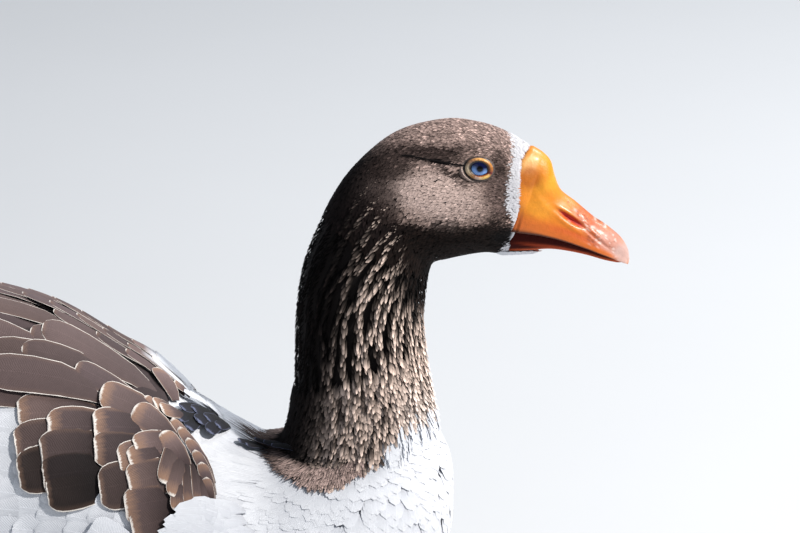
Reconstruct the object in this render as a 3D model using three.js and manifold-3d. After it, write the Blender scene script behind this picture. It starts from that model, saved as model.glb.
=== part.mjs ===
// A domestic goose with saddleback marking, life size, sitting on its belly with its feet tucked under.
// Millimetres. +X runs towards the bill, +Y to the bird's left and +Z up. The floor is Z = 0, and the
// origin is on the floor, half way between the tip of the bill and the tip of the tail.
import * as THREE from "three";
import { mergeVertices } from "three/addons/utils/BufferGeometryUtils.js";
import Module from "manifold-3d";

const wasm = await Module();
wasm.setup();

// ---------- Driving dimensions ----------
const HALF_LENGTH = 331.5; // from the origin to the bill's tip, and to the tail's tip
const TOUCH_GAP = 0.3; // kept between two parts that touch
const SLIVER = 0.04; // facets are merged where that moves the surface by less than this
const SIDES = { left: 1, right: -1 };

// The body, from the front of the breast to the rump: x, top, underside, half width.
const BODY = [
  [238.9, 88, 70, 8],
  [236.5, 101, 55, 30],
  [229, 114, 39, 47],
  [214, 121, 22, 62],
  [190, 121, 8, 76],
  [160, 114, -1, 87],
  [131, 108, -4, 94],
  [100, 130, -5, 99],
  [60, 151, -5, 102],
  [10, 174, -5, 103],
  [-60, 187, -5, 101],
  [-120, 183, -3, 93],
  [-180, 168, 8, 76],
  [-225, 151, 34, 56],
  [-262, 131, 68, 38],
  [-290, 123.5, 93, 23],
  [-308, 120.5, 110, 14],
];
const BODY_DROOP = -0.1; // the widest line lies this share of the half height below the middle
const RUMP_CUT = -262; // the tail starts here

// Neck and head: the nape or crown point x, z, the throat point x, z, the half width, and how far the
// widest line lies below the middle.
const NECK_AND_HEAD = [
  [130, 74, 222, 70, 58, 0],
  [140, 95, 229, 95, 52, 0],
  [147.5, 114, 228.4, 117, 45.5, 0],
  [151, 132, 224.4, 136, 39.5, 0],
  [151.6, 155, 220.8, 158, 34.5, 0],
  [152.4, 180, 220.4, 178, 31.5, 0],
  [156, 205, 221.8, 193, 30, 0],
  [165, 229.5, 223.2, 202, 28.5, -0.02],
  [181, 258.5, 226, 207.4, 26.5, -0.06],
  [204, 279.6, 232.5, 209, 25.2, -0.12],
  [231, 287.6, 243, 211.4, 24.6, -0.16],
  [251, 286, 254, 213, 23.4, -0.16],
  [266.4, 280.6, 262.4, 212, 20.2, -0.12],
  [280, 272.4, 269, 212.6, 16.8, -0.08],
];
const HEAD_STARTS_AT = 7.6; // the row of the table, counted from 0, where the head meets the neck
const FURROWS = 12; // ridges of neck feathers, counted round the neck
const FURROW_DEPTH = 1.5;

// Bill, upper half: culmen x, z, mouth line x, z, half width.
const UPPER_BILL = [
  [280, 272, 269.3, 228, 15.4],
  [285.4, 269.6, 272.6, 227.8, 15.5],
  [289.4, 263.4, 277, 227.2, 15.3],
  [291.6, 255.4, 282, 226.4, 14.9],
  [295, 247.4, 288, 225, 14.3],
  [303, 240.9, 296.4, 222.6, 13.6],
  [313, 232.2, 306.6, 218.9, 12.8],
  [321, 226, 316, 215, 11.8],
  [327, 220.6, 323.4, 211.6, 9.6],
  [330.6, 214.6, 328.4, 208.4, 6.0],
  [HALF_LENGTH, 209.2, 330.8, 206.4, 2.2],
];
// Bill, lower half: x, top, underside, half width.
const LOWER_BILL = [
  [266, 228.2, 214.4, 11.4],
  [279, 227.6, 215.4, 12.6],
  [289, 224.8, 216.2, 12.4],
  [299, 221.6, 215, 11.8],
  [309, 217.8, 212.8, 11],
  [318, 213.9, 210, 9.6],
  [324.6, 210.8, 208.2, 6.4],
  [327.4, 209.2, 207.6, 3],
];
const NAIL = { x: 327, z: 214, length: 20, height: 26, raised: 0.6 };
const NOSTRIL = { x: 300.6, y: 9.4, z: 233.6, length: 12, height: 3.4, depth: 5, slope: 36 };

// Eyes and the bare rings of their lids
const EYE = { x: 250.5, y: 14.9, z: 264.6, radius: 8 };
const LID = { long: 6.4, high: 5.2, thick: 1.5, out: 5.9, lean: 14, turn: 4 };

// The folded wing lies on the flank from its bend at the breast to the rump. Heights are above the body.
const WING = { front: 82, rear: -236, thick: 7, rim: 2.5, taper: 26, under_saddle: 5.1 };
const WING_LOWER_EDGE = [
  [-236, 92],
  [-180, 101],
  [-110, 105],
  [-20, 104],
  [40, 98],
  [82, 84],
]; // x and the angle round the body, 0 at the back and 90 at the side

// The shoulder feathers cover the back and the front of the wing as a saddle.
const SADDLE = { front: 108, rear: -112, thick: 7, taper: 30, overhang: 9.1 };
const SADDLE_LOWER_EDGE = [
  [-112, 44],
  [-50, 48],
  [0, 52],
  [24, 66],
  [46, 78],
  [80, 82],
  [108, 74],
];

// Tiers of vanes, from the front backwards: the x of the tips, the length and the width of a vane, and the
// angles round the body at which the vanes lie. A lean is added to the angle from root to tip.
const SADDLE_ROWS = [
  { tip: 80, length: 27, width: 21, angles: [9, 23, 37, 51, 65] },
  { tip: 52, length: 32, width: 22, angles: [16, 31, 46, 60, 74] },
  { tip: 23, length: 36, width: 23, angles: [9, 23, 37, 51, 64] },
  { tip: -9, length: 42, width: 25, angles: [16, 31, 45, 58] },
  { tip: -46, length: 50, width: 26, angles: [9, 24, 39, 51] },
  { tip: -87, length: 56, width: 27, angles: [16, 32, 46] },
  { tip: -129, length: 62, width: 27, angles: [9, 25, 40] },
];
const WING_ROWS = [
  { tip: 52, length: 26, width: 18, angles: [86] },
  { tip: 28, length: 30, width: 20, angles: [78, 92] },
  { tip: -2, length: 36, width: 22, angles: [71, 84, 97] },
  { tip: -38, length: 42, width: 24, angles: [65, 78, 91] },
  { tip: -80, length: 52, width: 26, angles: [60, 74, 88] },
  { tip: -124, length: 80, width: 22, angles: [98], lean: -2 },
  { tip: -155, length: 92, width: 22, angles: [91], lean: -3 },
  { tip: -184, length: 104, width: 22, angles: [83], lean: -3 },
  { tip: -208, length: 116, width: 22, angles: [74], lean: -4 },
  { tip: -158, length: 60, width: 28, angles: [62], lean: -2 },
  { tip: -186, length: 78, width: 29, angles: [50], lean: -2 },
  { tip: -210, length: 92, width: 30, angles: [37], lean: -2 },
  { tip: -232, length: 112, width: 30, angles: [23], lean: -3 },
  { tip: -247, length: 128, width: 28, angles: [11], lean: -1 },
];
const FEATHER = { free: 1, shaft: 0.35, edge: 0.25, tilt: 0.45, root_sunk: 1.2, embedded: 4 };
const RAISED = { saddle: 1.9, wing: 1.5 };
// The long flight feathers of the folded wing, the longest one lowest
const PRIMARIES = { count: 5, width: 15, root: [-170, 34, 164.5], tip: [-319, 12, 148.5], step: [13, 3.2, 1.9] };

const COLOURS = {
  white: 0xe9e8e3,
  brown: 0x6d5b51,
  saddle: 0x5f4f47,
  bill: 0xe08326,
  eye: 0x3f66a8,
};

// ---------- Small mathematics ----------
const radians = THREE.MathUtils.degToRad;
const lerp = THREE.MathUtils.lerp;
const smooth = THREE.MathUtils.smoothstep;

// A smooth curve through rows of [position, value], in rising order of position.
function curve(rows) {
  const slopes = rows.map((row, i) => {
    const before = rows[Math.max(i - 1, 0)];
    const after = rows[Math.min(i + 1, rows.length - 1)];
    return (after[1] - before[1]) / (after[0] - before[0]);
  });
  return (position) => {
    const last = rows.length - 2;
    const found = rows.findIndex((row, i) => i > 0 && position <= row[0]);
    const i = found < 0 ? last : found - 1;
    const span = rows[i + 1][0] - rows[i][0];
    const t = THREE.MathUtils.clamp((position - rows[i][0]) / span, 0, 1);
    const rise = rows[i + 1][1] - rows[i][1];
    const a = slopes[i] * span - rise;
    const b = rise - slopes[i + 1] * span;
    return rows[i][1] + t * rise + t * (1 - t) * (a * (1 - t) + b * t);
  };
}

// One curve for each column of a table, read by the row's number, which may be a fraction.
function columns(table) {
  const curves = table[0].map((_, column) => curve(table.map((row, i) => [i, row[column]])));
  return (row) => curves.map((read) => read(row));
}

function evenly(from, to, steps) {
  return Array.from({ length: steps + 1 }, (_, i) => lerp(from, to, i / steps));
}

// A repeatable random number from -1 to 1, the same for every build
function randomFrom(seed) {
  let state = seed;
  return () => {
    state = (state * 1664525 + 1013904223) % 4294967296;
    return (state / 4294967296) * 2 - 1;
  };
}

// ---------- Closed meshes and solids ----------
function closed(points, faces) {
  const geometry = new THREE.BufferGeometry().setFromPoints(points);
  let volume = 0;
  for (let i = 0; i < faces.length; i += 3) {
    const [a, b, c] = [points[faces[i]], points[faces[i + 1]], points[faces[i + 2]]];
    volume += a.dot(b.clone().cross(c));
  }
  if (volume < 0) faces.reverse();
  return geometry.setIndex(faces);
}

// A skin over rings of points, with both ends closed by fans
function loft(rings) {
  const around = rings[0].length;
  const points = rings.flat();
  const faces = [];
  for (let i = 0; i < rings.length - 1; i++)
    for (let j = 0; j < around; j++) {
      const next = (j + 1) % around;
      const [a, b] = [i * around + j, i * around + next];
      faces.push(a, b, b + around, a, b + around, a + around);
    }
  for (const end of [0, rings.length - 1]) {
    const middle = rings[end].reduce((sum, p) => sum.add(p), new THREE.Vector3());
    points.push(middle.divideScalar(around));
    for (let j = 0; j < around; j++) {
      const [a, b] = [end * around + j, end * around + ((j + 1) % around)];
      if (end) faces.push(a, b, points.length - 1);
      else faces.push(b, a, points.length - 1);
    }
  }
  return closed(points, faces);
}

// A plate between two grids of points, split into triangles alike on both faces
function plate(top, bottom) {
  const rows = top.length;
  const across = top[0].length;
  const points = [...top.flat(), ...bottom.flat()];
  const at = (layer, i, j) => (layer * rows + i) * across + j;
  const faces = [];
  const quad = (a, b, c, d) => faces.push(a, b, c, a, c, d);
  for (let i = 0; i < rows - 1; i++) {
    for (let j = 0; j < across - 1; j++) {
      quad(at(0, i, j), at(0, i + 1, j), at(0, i + 1, j + 1), at(0, i, j + 1));
      faces.push(at(1, i, j), at(1, i + 1, j + 1), at(1, i + 1, j));
      faces.push(at(1, i, j), at(1, i, j + 1), at(1, i + 1, j + 1));
    }
    quad(at(0, i, 0), at(1, i, 0), at(1, i + 1, 0), at(0, i + 1, 0));
    quad(at(0, i + 1, across - 1), at(1, i + 1, across - 1), at(1, i, across - 1), at(0, i, across - 1));
  }
  for (let j = 0; j < across - 1; j++) {
    quad(at(0, 0, j + 1), at(1, 0, j + 1), at(1, 0, j), at(0, 0, j));
    quad(at(0, rows - 1, j), at(1, rows - 1, j), at(1, rows - 1, j + 1), at(0, rows - 1, j + 1));
  }
  return closed(points, faces);
}

function solid(geometry) {
  geometry.deleteAttribute("normal");
  geometry.deleteAttribute("uv");
  const merged = mergeVertices(geometry, 1e-4);
  return new wasm.Manifold(
    new wasm.Mesh({
      numProp: 3,
      vertProperties: merged.getAttribute("position").array,
      triVerts: Uint32Array.from(merged.index.array),
    }),
  );
}

function joined(solids) {
  return solids.reduce((all, one) => all.add(one));
}

// A node loses the slivers that crossing vanes leave, and keeps its largest closed piece, so that no scrap
// of a cut is left loose.
function largest(made) {
  const pieces = made.asOriginal().simplify(SLIVER).decompose();
  return pieces.reduce((best, one) => (one.volume() > best.volume() ? one : best));
}

function block(from, to) {
  const size = to.clone().sub(from);
  const box = new THREE.BoxGeometry(size.x, size.y, size.z);
  return solid(box.translate((from.x + to.x) / 2, (from.y + to.y) / 2, (from.z + to.z) / 2));
}

function node(name, made, colour, roughness) {
  const mesh = largest(made).getMesh();
  const geometry = new THREE.BufferGeometry();
  const positions = new Float32Array(mesh.numVert * 3);
  for (let i = 0; i < mesh.numVert; i++)
    positions.set(mesh.vertProperties.subarray(i * mesh.numProp, i * mesh.numProp + 3), i * 3);
  geometry.setAttribute("position", new THREE.BufferAttribute(positions, 3));
  geometry.setIndex(new THREE.BufferAttribute(mesh.triVerts, 1));
  geometry.computeVertexNormals();
  const material = new THREE.MeshStandardMaterial({ color: colour, roughness, metalness: 0 });
  const made_node = new THREE.Mesh(geometry, material);
  made_node.name = name;
  return made_node;
}

// ---------- The body's surface ----------
const bodyRow = columns(BODY);

function rowAt(x) {
  let [low, high] = [0, BODY.length - 1];
  for (let i = 0; i < 40; i++) {
    const middle = (low + high) / 2;
    if (bodyRow(middle)[0] > x) low = middle;
    else high = middle;
  }
  return (low + high) / 2;
}

// The point of the body at a row of the table and an angle round it, 0 at the back and 180 underneath
function bodyPoint(row, angle) {
  const [x, top, underside, half_width] = bodyRow(row);
  const half = (top - underside) / 2;
  const [s, c] = [Math.sin(radians(angle)), Math.cos(radians(angle))];
  const y = half_width * Math.sign(s) * Math.abs(s) ** 0.92;
  return new THREE.Vector3(x, y, underside + half * (1 + c + BODY_DROOP * s * s));
}

// The same point by x, raised by a height along the outward normal
function onBody(x, angle, height) {
  const row = rowAt(x);
  const step = 0.02;
  const along = bodyPoint(row + step, angle).sub(bodyPoint(row - step, angle));
  const round = bodyPoint(row, angle + 1).sub(bodyPoint(row, angle - 1));
  const normal = along.cross(round).normalize();
  return bodyPoint(row, angle).addScaledVector(normal, -height);
}

function bodyLoft(grow, rings, around) {
  const made = [];
  const last = BODY.length - 1;
  for (let i = 0; i <= rings; i++) {
    const row = (last * i) / rings;
    const x = bodyRow(row)[0];
    const ring = [];
    for (let j = 0; j < around; j++) {
      const angle = (360 * j) / around;
      const end = row === 0 || row === last;
      const p = grow && !end ? onBody(x, angle, grow) : bodyPoint(row, angle);
      if (end) p.x += row === 0 ? grow : -grow;
      p.z = Math.max(p.z, -grow);
      ring.push(p);
    }
    made.push(ring);
  }
  return solid(loft(made));
}

// ---------- Neck and head ----------
const neckRow = columns(NECK_AND_HEAD);

function neckPoint(row, angle, grow = 0) {
  const [nape_x, nape_z, throat_x, throat_z, half_width, droop] = neckRow(row);
  const nape = new THREE.Vector3(nape_x, 0, nape_z);
  const throat = new THREE.Vector3(throat_x, 0, throat_z);
  const half = nape.distanceTo(throat) / 2;
  const [s, c] = [Math.sin(radians(angle)), Math.cos(radians(angle))];
  const fade = smooth(row, 2, 3.2) * (1 - smooth(row, 6.6, 8.2));
  const furrow = 0.5 - 0.5 * Math.cos(radians(FURROWS * angle));
  const inside = 1 + (grow - FURROW_DEPTH * fade * furrow) / half;
  const up = nape.clone().sub(throat).normalize();
  const p = nape.clone().add(throat).divideScalar(2);
  p.addScaledVector(up, half * inside * (c + droop * s * s));
  p.y = half_width * inside * Math.sign(s) * Math.abs(s) ** 0.94;
  return p;
}

function neckLoft(from, to, steps, around) {
  const rings = evenly(from, to, steps).map((row) =>
    Array.from({ length: around }, (_, j) => neckPoint(row, (360 * j) / around)),
  );
  return solid(loft(rings));
}

// Everything below the slanting section where the neck ends, with the gap added
function belowHead() {
  const [nape_x, nape_z, throat_x, throat_z] = neckRow(HEAD_STARTS_AT);
  const tilt = Math.atan2(nape_z - throat_z, nape_x - throat_x);
  const slab = new THREE.BoxGeometry(160, 120, 60).translate(0, 0, TOUCH_GAP - 30);
  slab.rotateY(Math.PI - tilt);
  return solid(slab.translate((nape_x + throat_x) / 2, 0, (nape_z + throat_z) / 2));
}

function lid(side) {
  const ring = new THREE.TorusGeometry(1, LID.thick / LID.high, 5, 14);
  ring.scale(LID.long, LID.high, LID.high);
  ring.rotateX(radians(90 + LID.lean));
  ring.rotateZ(radians(-LID.turn));
  ring.translate(EYE.x, EYE.y + LID.out, EYE.z);
  if (side < 0) ring.scale(1, -1, 1);
  return ring;
}

function mirrored(made, side) {
  return side < 0 ? made.mirror([0, 1, 0]) : made;
}

function eyeBall(grow) {
  const ball = new THREE.SphereGeometry(EYE.radius + grow, 14, 8);
  return solid(ball.rotateX(Math.PI / 2).translate(EYE.x, EYE.y, EYE.z));
}

function headSolid(raw) {
  let made = raw;
  for (const side of Object.values(SIDES)) {
    made = made.add(mirrored(solid(lid(1)), side));
    made = made.subtract(mirrored(eyeBall(TOUCH_GAP), side));
  }
  return made;
}

// ---------- Bill ----------
const upperRow = columns(UPPER_BILL);
const lowerRow = columns(LOWER_BILL);

// The plane that the head's feathers end on, as a direction square to it
const bill_base = new THREE.Vector3(272.4 - 212.6, 0, -(280 - 269)).normalize();

function upperBill(grow, below, rings) {
  const arch = 12;
  const palate = 3;
  const made = [];
  for (let i = 0; i <= rings; i++) {
    const row = ((UPPER_BILL.length - 1) * i) / rings;
    const [top_x, top_z, mouth_x, mouth_z, half_width] = upperRow(row);
    const top = new THREE.Vector3(top_x, 0, top_z);
    const mouth = new THREE.Vector3(mouth_x, 0, mouth_z);
    const up = top.clone().sub(mouth);
    const taller = 1 + (grow + below) / up.length();
    const ring = [];
    for (let j = 0; j <= arch; j++) {
      const angle = radians(-90 + (180 * j) / arch);
      const height = taller * Math.cos(angle) ** 1.15 - below / up.length();
      const p = mouth.clone().addScaledVector(up, height);
      p.y = (half_width + grow) * Math.sign(angle) * Math.abs(Math.sin(angle)) ** 0.8;
      ring.push(p);
    }
    for (let j = palate; j >= 1; j--) {
      const across = 1 - (2 * j) / (palate + 1);
      const vault = below ? -below / up.length() : 0.1 * (1 - across * across);
      const p = mouth.clone().addScaledVector(up, vault);
      p.y = -(half_width + grow) * across;
      ring.push(p);
    }
    made.push(ring);
  }
  return solid(loft(made));
}

function nostril() {
  const pit = new THREE.SphereGeometry(0.5, 10, 6);
  pit.scale(NOSTRIL.length, NOSTRIL.depth, NOSTRIL.height);
  pit.rotateY(radians(NOSTRIL.slope));
  return solid(pit.translate(NOSTRIL.x, NOSTRIL.y, NOSTRIL.z));
}

function upperBillSolid() {
  const rings = 16;
  const shield = new THREE.SphereGeometry(0.5, 12, 8);
  shield.scale(NAIL.length, 19, NAIL.height);
  const nail = upperBill(NAIL.raised, 0, rings).intersect(
    solid(shield.translate(NAIL.x, 0, NAIL.z)),
  );
  let made = upperBill(0, 0, rings).add(nail);
  for (const side of Object.values(SIDES)) made = made.subtract(mirrored(nostril(), side));
  return made.subtract(headFront());
}

// Everything behind the feathered edge round the bill, with the gap added
function headFront() {
  const depth = 60;
  const slab = new THREE.BoxGeometry(depth, 80, 140);
  slab.rotateY(Math.atan2(-bill_base.z, bill_base.x));
  const centre = new THREE.Vector3(269, 0, 212.6).addScaledVector(bill_base, TOUCH_GAP - depth / 2);
  return solid(slab.translate(centre.x, 0, centre.z));
}

function lowerBillSolid() {
  const rings = LOWER_BILL.length - 1;
  const around = 14;
  const made = [];
  for (let i = 0; i <= 2 * rings; i++) {
    const [x, top, underside, half_width] = lowerRow(i / 2);
    const ring = [];
    for (let j = 0; j < around; j++) {
      const angle = radians((360 * j) / around);
      const [s, c] = [Math.sin(angle), Math.cos(angle)];
      const z = c > 0 ? top : underside + (top - underside) * (1 - Math.abs(c) ** 0.7);
      const width = half_width * Math.sign(s) * Math.abs(s) ** (c > 0 ? 1 : 0.6);
      ring.push(new THREE.Vector3(x, width, z));
    }
    made.push(ring);
  }
  return solid(loft(made)).subtract(upperBill(TOUCH_GAP, TOUCH_GAP, 16)).subtract(headFront());
}

// ---------- Feathers ----------
// How wide a vane is along its length, as pairs of the share of the length and the share of the width
const SHORT_VANE = [
  [0, 0.6],
  [0.5, 1],
  [0.86, 0.84],
  [1, 0.2],
];
const LONG_VANE = [
  [0, 0.55],
  [0.45, 0.95],
  [0.8, 1],
  [0.95, 0.64],
  [1, 0.14],
];
const outlineFor = (length) => (length > 60 ? LONG_VANE : SHORT_VANE);

// A vane laid over the body from its root to its tip, each an [x, angle], on a layer of a given height.
// A covered vane is sunk into its layer, and a free one is a thin plate.
function bodyVane({ root, tip, width, layer, raised, thick, side }) {
  const [top, bottom] = [[], []];
  outlineFor(root[0] - tip[0]).forEach(([t, share]) => {
    const [x, angle] = [lerp(root[0], tip[0], t), lerp(root[1], tip[1], t)];
    const along = onBody(x + 0.01 * (tip[0] - root[0]), angle + 0.01 * (tip[1] - root[1]), 0);
    const here = onBody(x, angle, 0);
    along.sub(here).normalize();
    const by_x = onBody(x - 1, angle, 0).sub(here);
    const by_angle = onBody(x, angle + 1, 0).sub(here);
    const normal = by_x.clone().cross(by_angle).normalize();
    const across = normal.cross(along).normalize();
    const half = (width / 2) * share;
    const rise = lerp(-FEATHER.root_sunk, raised, t);
    const [high, low] = [[], []];
    for (const j of [-1, 0, 1]) {
      const px = x - (j * half * across.dot(by_x)) / by_x.lengthSq();
      const pa = angle + (j * half * across.dot(by_angle)) / by_angle.lengthSq();
      const height = layer(px, pa) + rise + (j ? -FEATHER.edge : FEATHER.shaft) - j * FEATHER.tilt;
      const lower = thick ? height - thick : Math.max(0.6, layer(px, pa) - FEATHER.embedded);
      for (const [list, h] of [
        [high, height],
        [low, lower],
      ]) {
        const p = onBody(px, pa, h);
        p.y *= side;
        list.push(p);
      }
    }
    top.push(high);
    bottom.push(low);
  });
  return solid(plate(top, bottom));
}

// A free vane between two points, bent down by a sag and rolled about its length
function quill({ root, tip, width, sag, roll, thick }) {
  const middle = root.clone().add(tip).divideScalar(2);
  middle.z += sag;
  const path = new THREE.QuadraticBezierCurve3(root, middle, tip);
  const [top, bottom] = [[], []];
  outlineFor(root.distanceTo(tip)).forEach(([t, share]) => {
    const centre = path.getPoint(t);
    const along = path.getTangent(t);
    const across = new THREE.Vector3(0, 1, 0).applyAxisAngle(new THREE.Vector3(1, 0, 0), roll);
    across.addScaledVector(along, -across.dot(along)).normalize();
    const up = across.clone().cross(along).normalize();
    if (up.z < 0) up.negate();
    const half = (width / 2) * share;
    const [high, low] = [[], []];
    for (const j of [-1, 0, 1]) {
      const p = centre.clone().addScaledVector(across, j * half);
      high.push(p.clone().addScaledVector(up, j ? -FEATHER.edge : FEATHER.shaft));
      low.push(high.at(-1).clone().addScaledVector(up, -thick));
    }
    top.push(high);
    bottom.push(low);
  });
  return solid(plate(top, bottom));
}

// A layer over the body along a row of x and between two angles, closed all round
function layerOver({ at, from_angle, to_angle, low, high, around, side }) {
  const [top, bottom] = [[], []];
  for (const x of at) {
    const [a, b] = [from_angle(x), to_angle(x)];
    const rows = [[], []];
    for (let j = 0; j <= around; j++) {
      const angle = lerp(a, b, j / around);
      [high(x, angle), low].forEach((height, k) => {
        const p = onBody(x, angle, height);
        p.y *= side;
        rows[k].push(p);
      });
    }
    top.push(rows[0]);
    bottom.push(rows[1]);
  }
  return solid(plate(top, bottom));
}

// ---------- Wings and saddle ----------
const wingLower = curve(WING_LOWER_EDGE);
const saddleLower = curve(SADDLE_LOWER_EDGE);

// The wing is thinner near its rim, and where the tips of the saddle's feathers lie over it.
function wingHeight(x, angle) {
  const front = smooth(WING.front - x, 0, WING.taper);
  const rim = smooth(wingLower(x) - angle, 0, 14);
  const beside = smooth(angle - saddleLower(x), 17, 27);
  const behind = smooth(SADDLE.rear - x, 26, 44);
  const thick = lerp(WING.under_saddle, WING.thick, Math.max(beside, behind));
  return lerp(WING.rim, thick, Math.min(front, rim));
}

function saddleHeight(x, angle) {
  const front = smooth(SADDLE.front - x, 0, SADDLE.taper);
  const beside = smooth(angle, saddleLower(x) - 6, saddleLower(x));
  const behind = smooth(SADDLE.rear + 14 - x, 0, 12);
  return lerp(1.2, lerp(SADDLE.thick, SADDLE.overhang, Math.max(beside, behind)), front);
}

// The saddle's own ground, with a margin, which the wing is cut clear of
function saddleGround(side, margin, low, high) {
  const at = evenly(SADDLE.front, SADDLE.rear, 12);
  if (margin) {
    at.unshift(SADDLE.front + margin);
    at.push(SADDLE.rear - margin);
  }
  const to_angle = (x) => saddleLower(x) + margin / 1.2;
  return layerOver({ at, from_angle: () => -2, to_angle, low, high, around: 6, side });
}

function wingGround(side) {
  const at = [...evenly(WING.front, SADDLE.rear + 4, 9), ...evenly(SADDLE.rear - 3, WING.rear, 6)];
  return layerOver({
    at,
    from_angle: (x) => (x > SADDLE.rear ? saddleLower(x) - 6 : 0.6),
    to_angle: wingLower,
    low: -2,
    high: wingHeight,
    around: 6,
    side,
  });
}

// Every vane of a table's rows, thin and free where its tip passes the edge of the ground beneath it
function tiers({ rows, layer, raised, isFree, side, random }) {
  return rows.flatMap(({ tip, length, width, angles, lean = 0 }) =>
    angles.map((angle) => {
      const end = [tip + 3 * random(), angle + 1.2 * random()];
      const thick = isFree(...end) ? FEATHER.free : 0;
      return bodyVane({ root: [tip + length, angle - lean], tip: end, width, layer, raised, thick, side });
    }),
  );
}

function primaries(side) {
  return Array.from({ length: PRIMARIES.count }, (_, i) => {
    const root = new THREE.Vector3(...PRIMARIES.root).add(new THREE.Vector3(0, -1.5 * i, 1.1 * i));
    const tip = new THREE.Vector3(...PRIMARIES.tip);
    tip.add(new THREE.Vector3(...PRIMARIES.step).multiplyScalar(i));
    root.y *= side;
    tip.y *= side;
    const roll = side * -0.32;
    return quill({ root, tip, width: PRIMARIES.width, sag: 3, roll, thick: FEATHER.free });
  });
}

function wing(side, body_with_gap) {
  const random = randomFrom(side > 0 ? 11 : 12);
  const isFree = (x, angle) => x < WING.rear + 6 || angle > wingLower(x) + 40;
  const vanes = tiers({
    rows: WING_ROWS,
    layer: wingHeight,
    raised: RAISED.wing,
    isFree,
    side,
    random,
  });
  let made = joined([wingGround(side), ...vanes, ...primaries(side)]);
  made = made.subtract(body_with_gap);
  made = made.subtract(saddleGround(side, 3 * TOUCH_GAP, -4, () => 16));
  return made.subtract(midline());
}

function saddle(side, body_with_gap) {
  const random = randomFrom(side > 0 ? 21 : 22);
  const isFree = (x, angle) => angle > saddleLower(x) - 5 || x < SADDLE.rear + 3;
  const vanes = tiers({
    rows: SADDLE_ROWS,
    layer: saddleHeight,
    raised: RAISED.saddle,
    isFree,
    side,
    random,
  });
  const made = joined([saddleGround(side, 0, -2, saddleHeight), ...vanes]);
  return made.subtract(body_with_gap).subtract(midline());
}

// A thin plate down the middle of the back, which keeps left and right apart
function midline() {
  return block(new THREE.Vector3(-400, -TOUCH_GAP / 2, 100), new THREE.Vector3(200, TOUCH_GAP / 2, 260));
}

// ---------- Tail ----------
const TAIL = { pairs: 5, width: 17, root: [-266, 2.6, 121], tip: [-HALF_LENGTH + 0.15, 7.2, 133], sag: 3 };
const TAIL_STEP = { down: 1.2, shorter: 0.9, roll: 0.05 };
const TAIL_COVERTS = { pairs: 2, width: 17, root: [-263.5, 5, 125.5], tip: [-304, 9.5, 136.4], down: 1.3, shorter: 3 };

// A middle feather, and pairs beside it that lie lower and end sooner the farther out they are
function fan({ pairs, width, root, tip, sag = 0 }, { down, shorter, roll }) {
  const made = [];
  for (let i = -pairs; i <= pairs; i++) {
    const out = Math.abs(i);
    const start = new THREE.Vector3(root[0], root[1] * i, root[2] - down * out);
    const end = new THREE.Vector3(tip[0] + shorter * out ** 2, tip[1] * i, tip[2] - (down + 0.2) * out);
    made.push(quill({ root: start, tip: end, width, sag, roll: -roll * i, thick: FEATHER.free }));
  }
  return joined(made);
}

// ---------- Feet ----------
const FOOT = { hock: [-98, 56, 8], ankle: [-20, 64, 6], shank: [5.4, 5.8], web: 1.8 };
const TOES = { inner: [42, 44], middle: [60, 72], outer: [40, 103] };
const TOE = { base: 4.6, tip: 3.2, claw: 9, claw_radii: [2.4, 0.6] };

// A tapered rod between two points, larger all over by grow
function rod(from, to, radii, sides, grow) {
  const along = to.clone().sub(from).normalize();
  const across = new THREE.Vector3(0, 0, 1).cross(along).normalize();
  const up = along.clone().cross(across);
  const rings = [from, to].map((end, i) => {
    const centre = end.clone().addScaledVector(along, i ? grow : -grow);
    const radius = (radii[i] + grow) / (grow ? Math.cos(Math.PI / sides / 2) : 1);
    return Array.from({ length: sides }, (_, j) => {
      const angle = (2 * Math.PI * (j + 0.5)) / sides;
      const p = centre.clone().addScaledVector(across, radius * Math.cos(angle));
      return p.addScaledVector(up, radius * Math.sin(angle));
    });
  });
  return solid(loft(rings));
}

function foot(side, grow) {
  const hock = new THREE.Vector3(...FOOT.hock);
  const ankle = new THREE.Vector3(...FOOT.ankle);
  const pieces = [rod(hock, ankle, FOOT.shank, 8, grow)];
  const outline = new THREE.Shape().moveTo(ankle.x, ankle.y);
  const names = Object.keys(TOES);
  names.forEach((name, i) => {
    const [x, y] = TOES[name];
    const tip = new THREE.Vector3(x, y, TOE.tip - 0.5);
    const start = ankle.clone().setZ(TOE.base - 0.6);
    pieces.push(rod(start, tip, [TOE.base, TOE.tip], 8, grow));
    const beyond = tip.clone().sub(start).setLength(TOE.claw).add(tip).setZ(1.2);
    pieces.push(rod(tip.clone().lerp(start, 0.05), beyond, TOE.claw_radii, 6, grow));
    const edge = [x - 4 + 2 * grow, y];
    if (i === 0) outline.lineTo(...edge);
    else {
      const before = TOES[names[i - 1]];
      outline.quadraticCurveTo((before[0] + x) / 2 - 12 + 2 * grow, (before[1] + y) / 2, ...edge);
    }
  });
  const web = new THREE.ExtrudeGeometry(outline, { depth: FOOT.web + grow, bevelEnabled: false, curveSegments: 3 });
  pieces.push(solid(web));
  const floor = block(new THREE.Vector3(-200, -200, -40), new THREE.Vector3(200, 200, -grow));
  return mirrored(joined(pieces).subtract(floor), side);
}

// ---------- The bird ----------
const body_rings = 21;
const body_around = 30;
const body_with_gap = bodyLoft(TOUCH_GAP, body_rings, body_around);
const rump_cut = block(
  new THREE.Vector3(RUMP_CUT - TOUCH_GAP, -100, -10),
  new THREE.Vector3(RUMP_CUT, 100, 250),
);
const whole_body = bodyLoft(0, body_rings, body_around).subtract(rump_cut);
const behind = block(new THREE.Vector3(-400, -200, -50), new THREE.Vector3(RUMP_CUT - 0.1, 200, 300));

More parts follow.
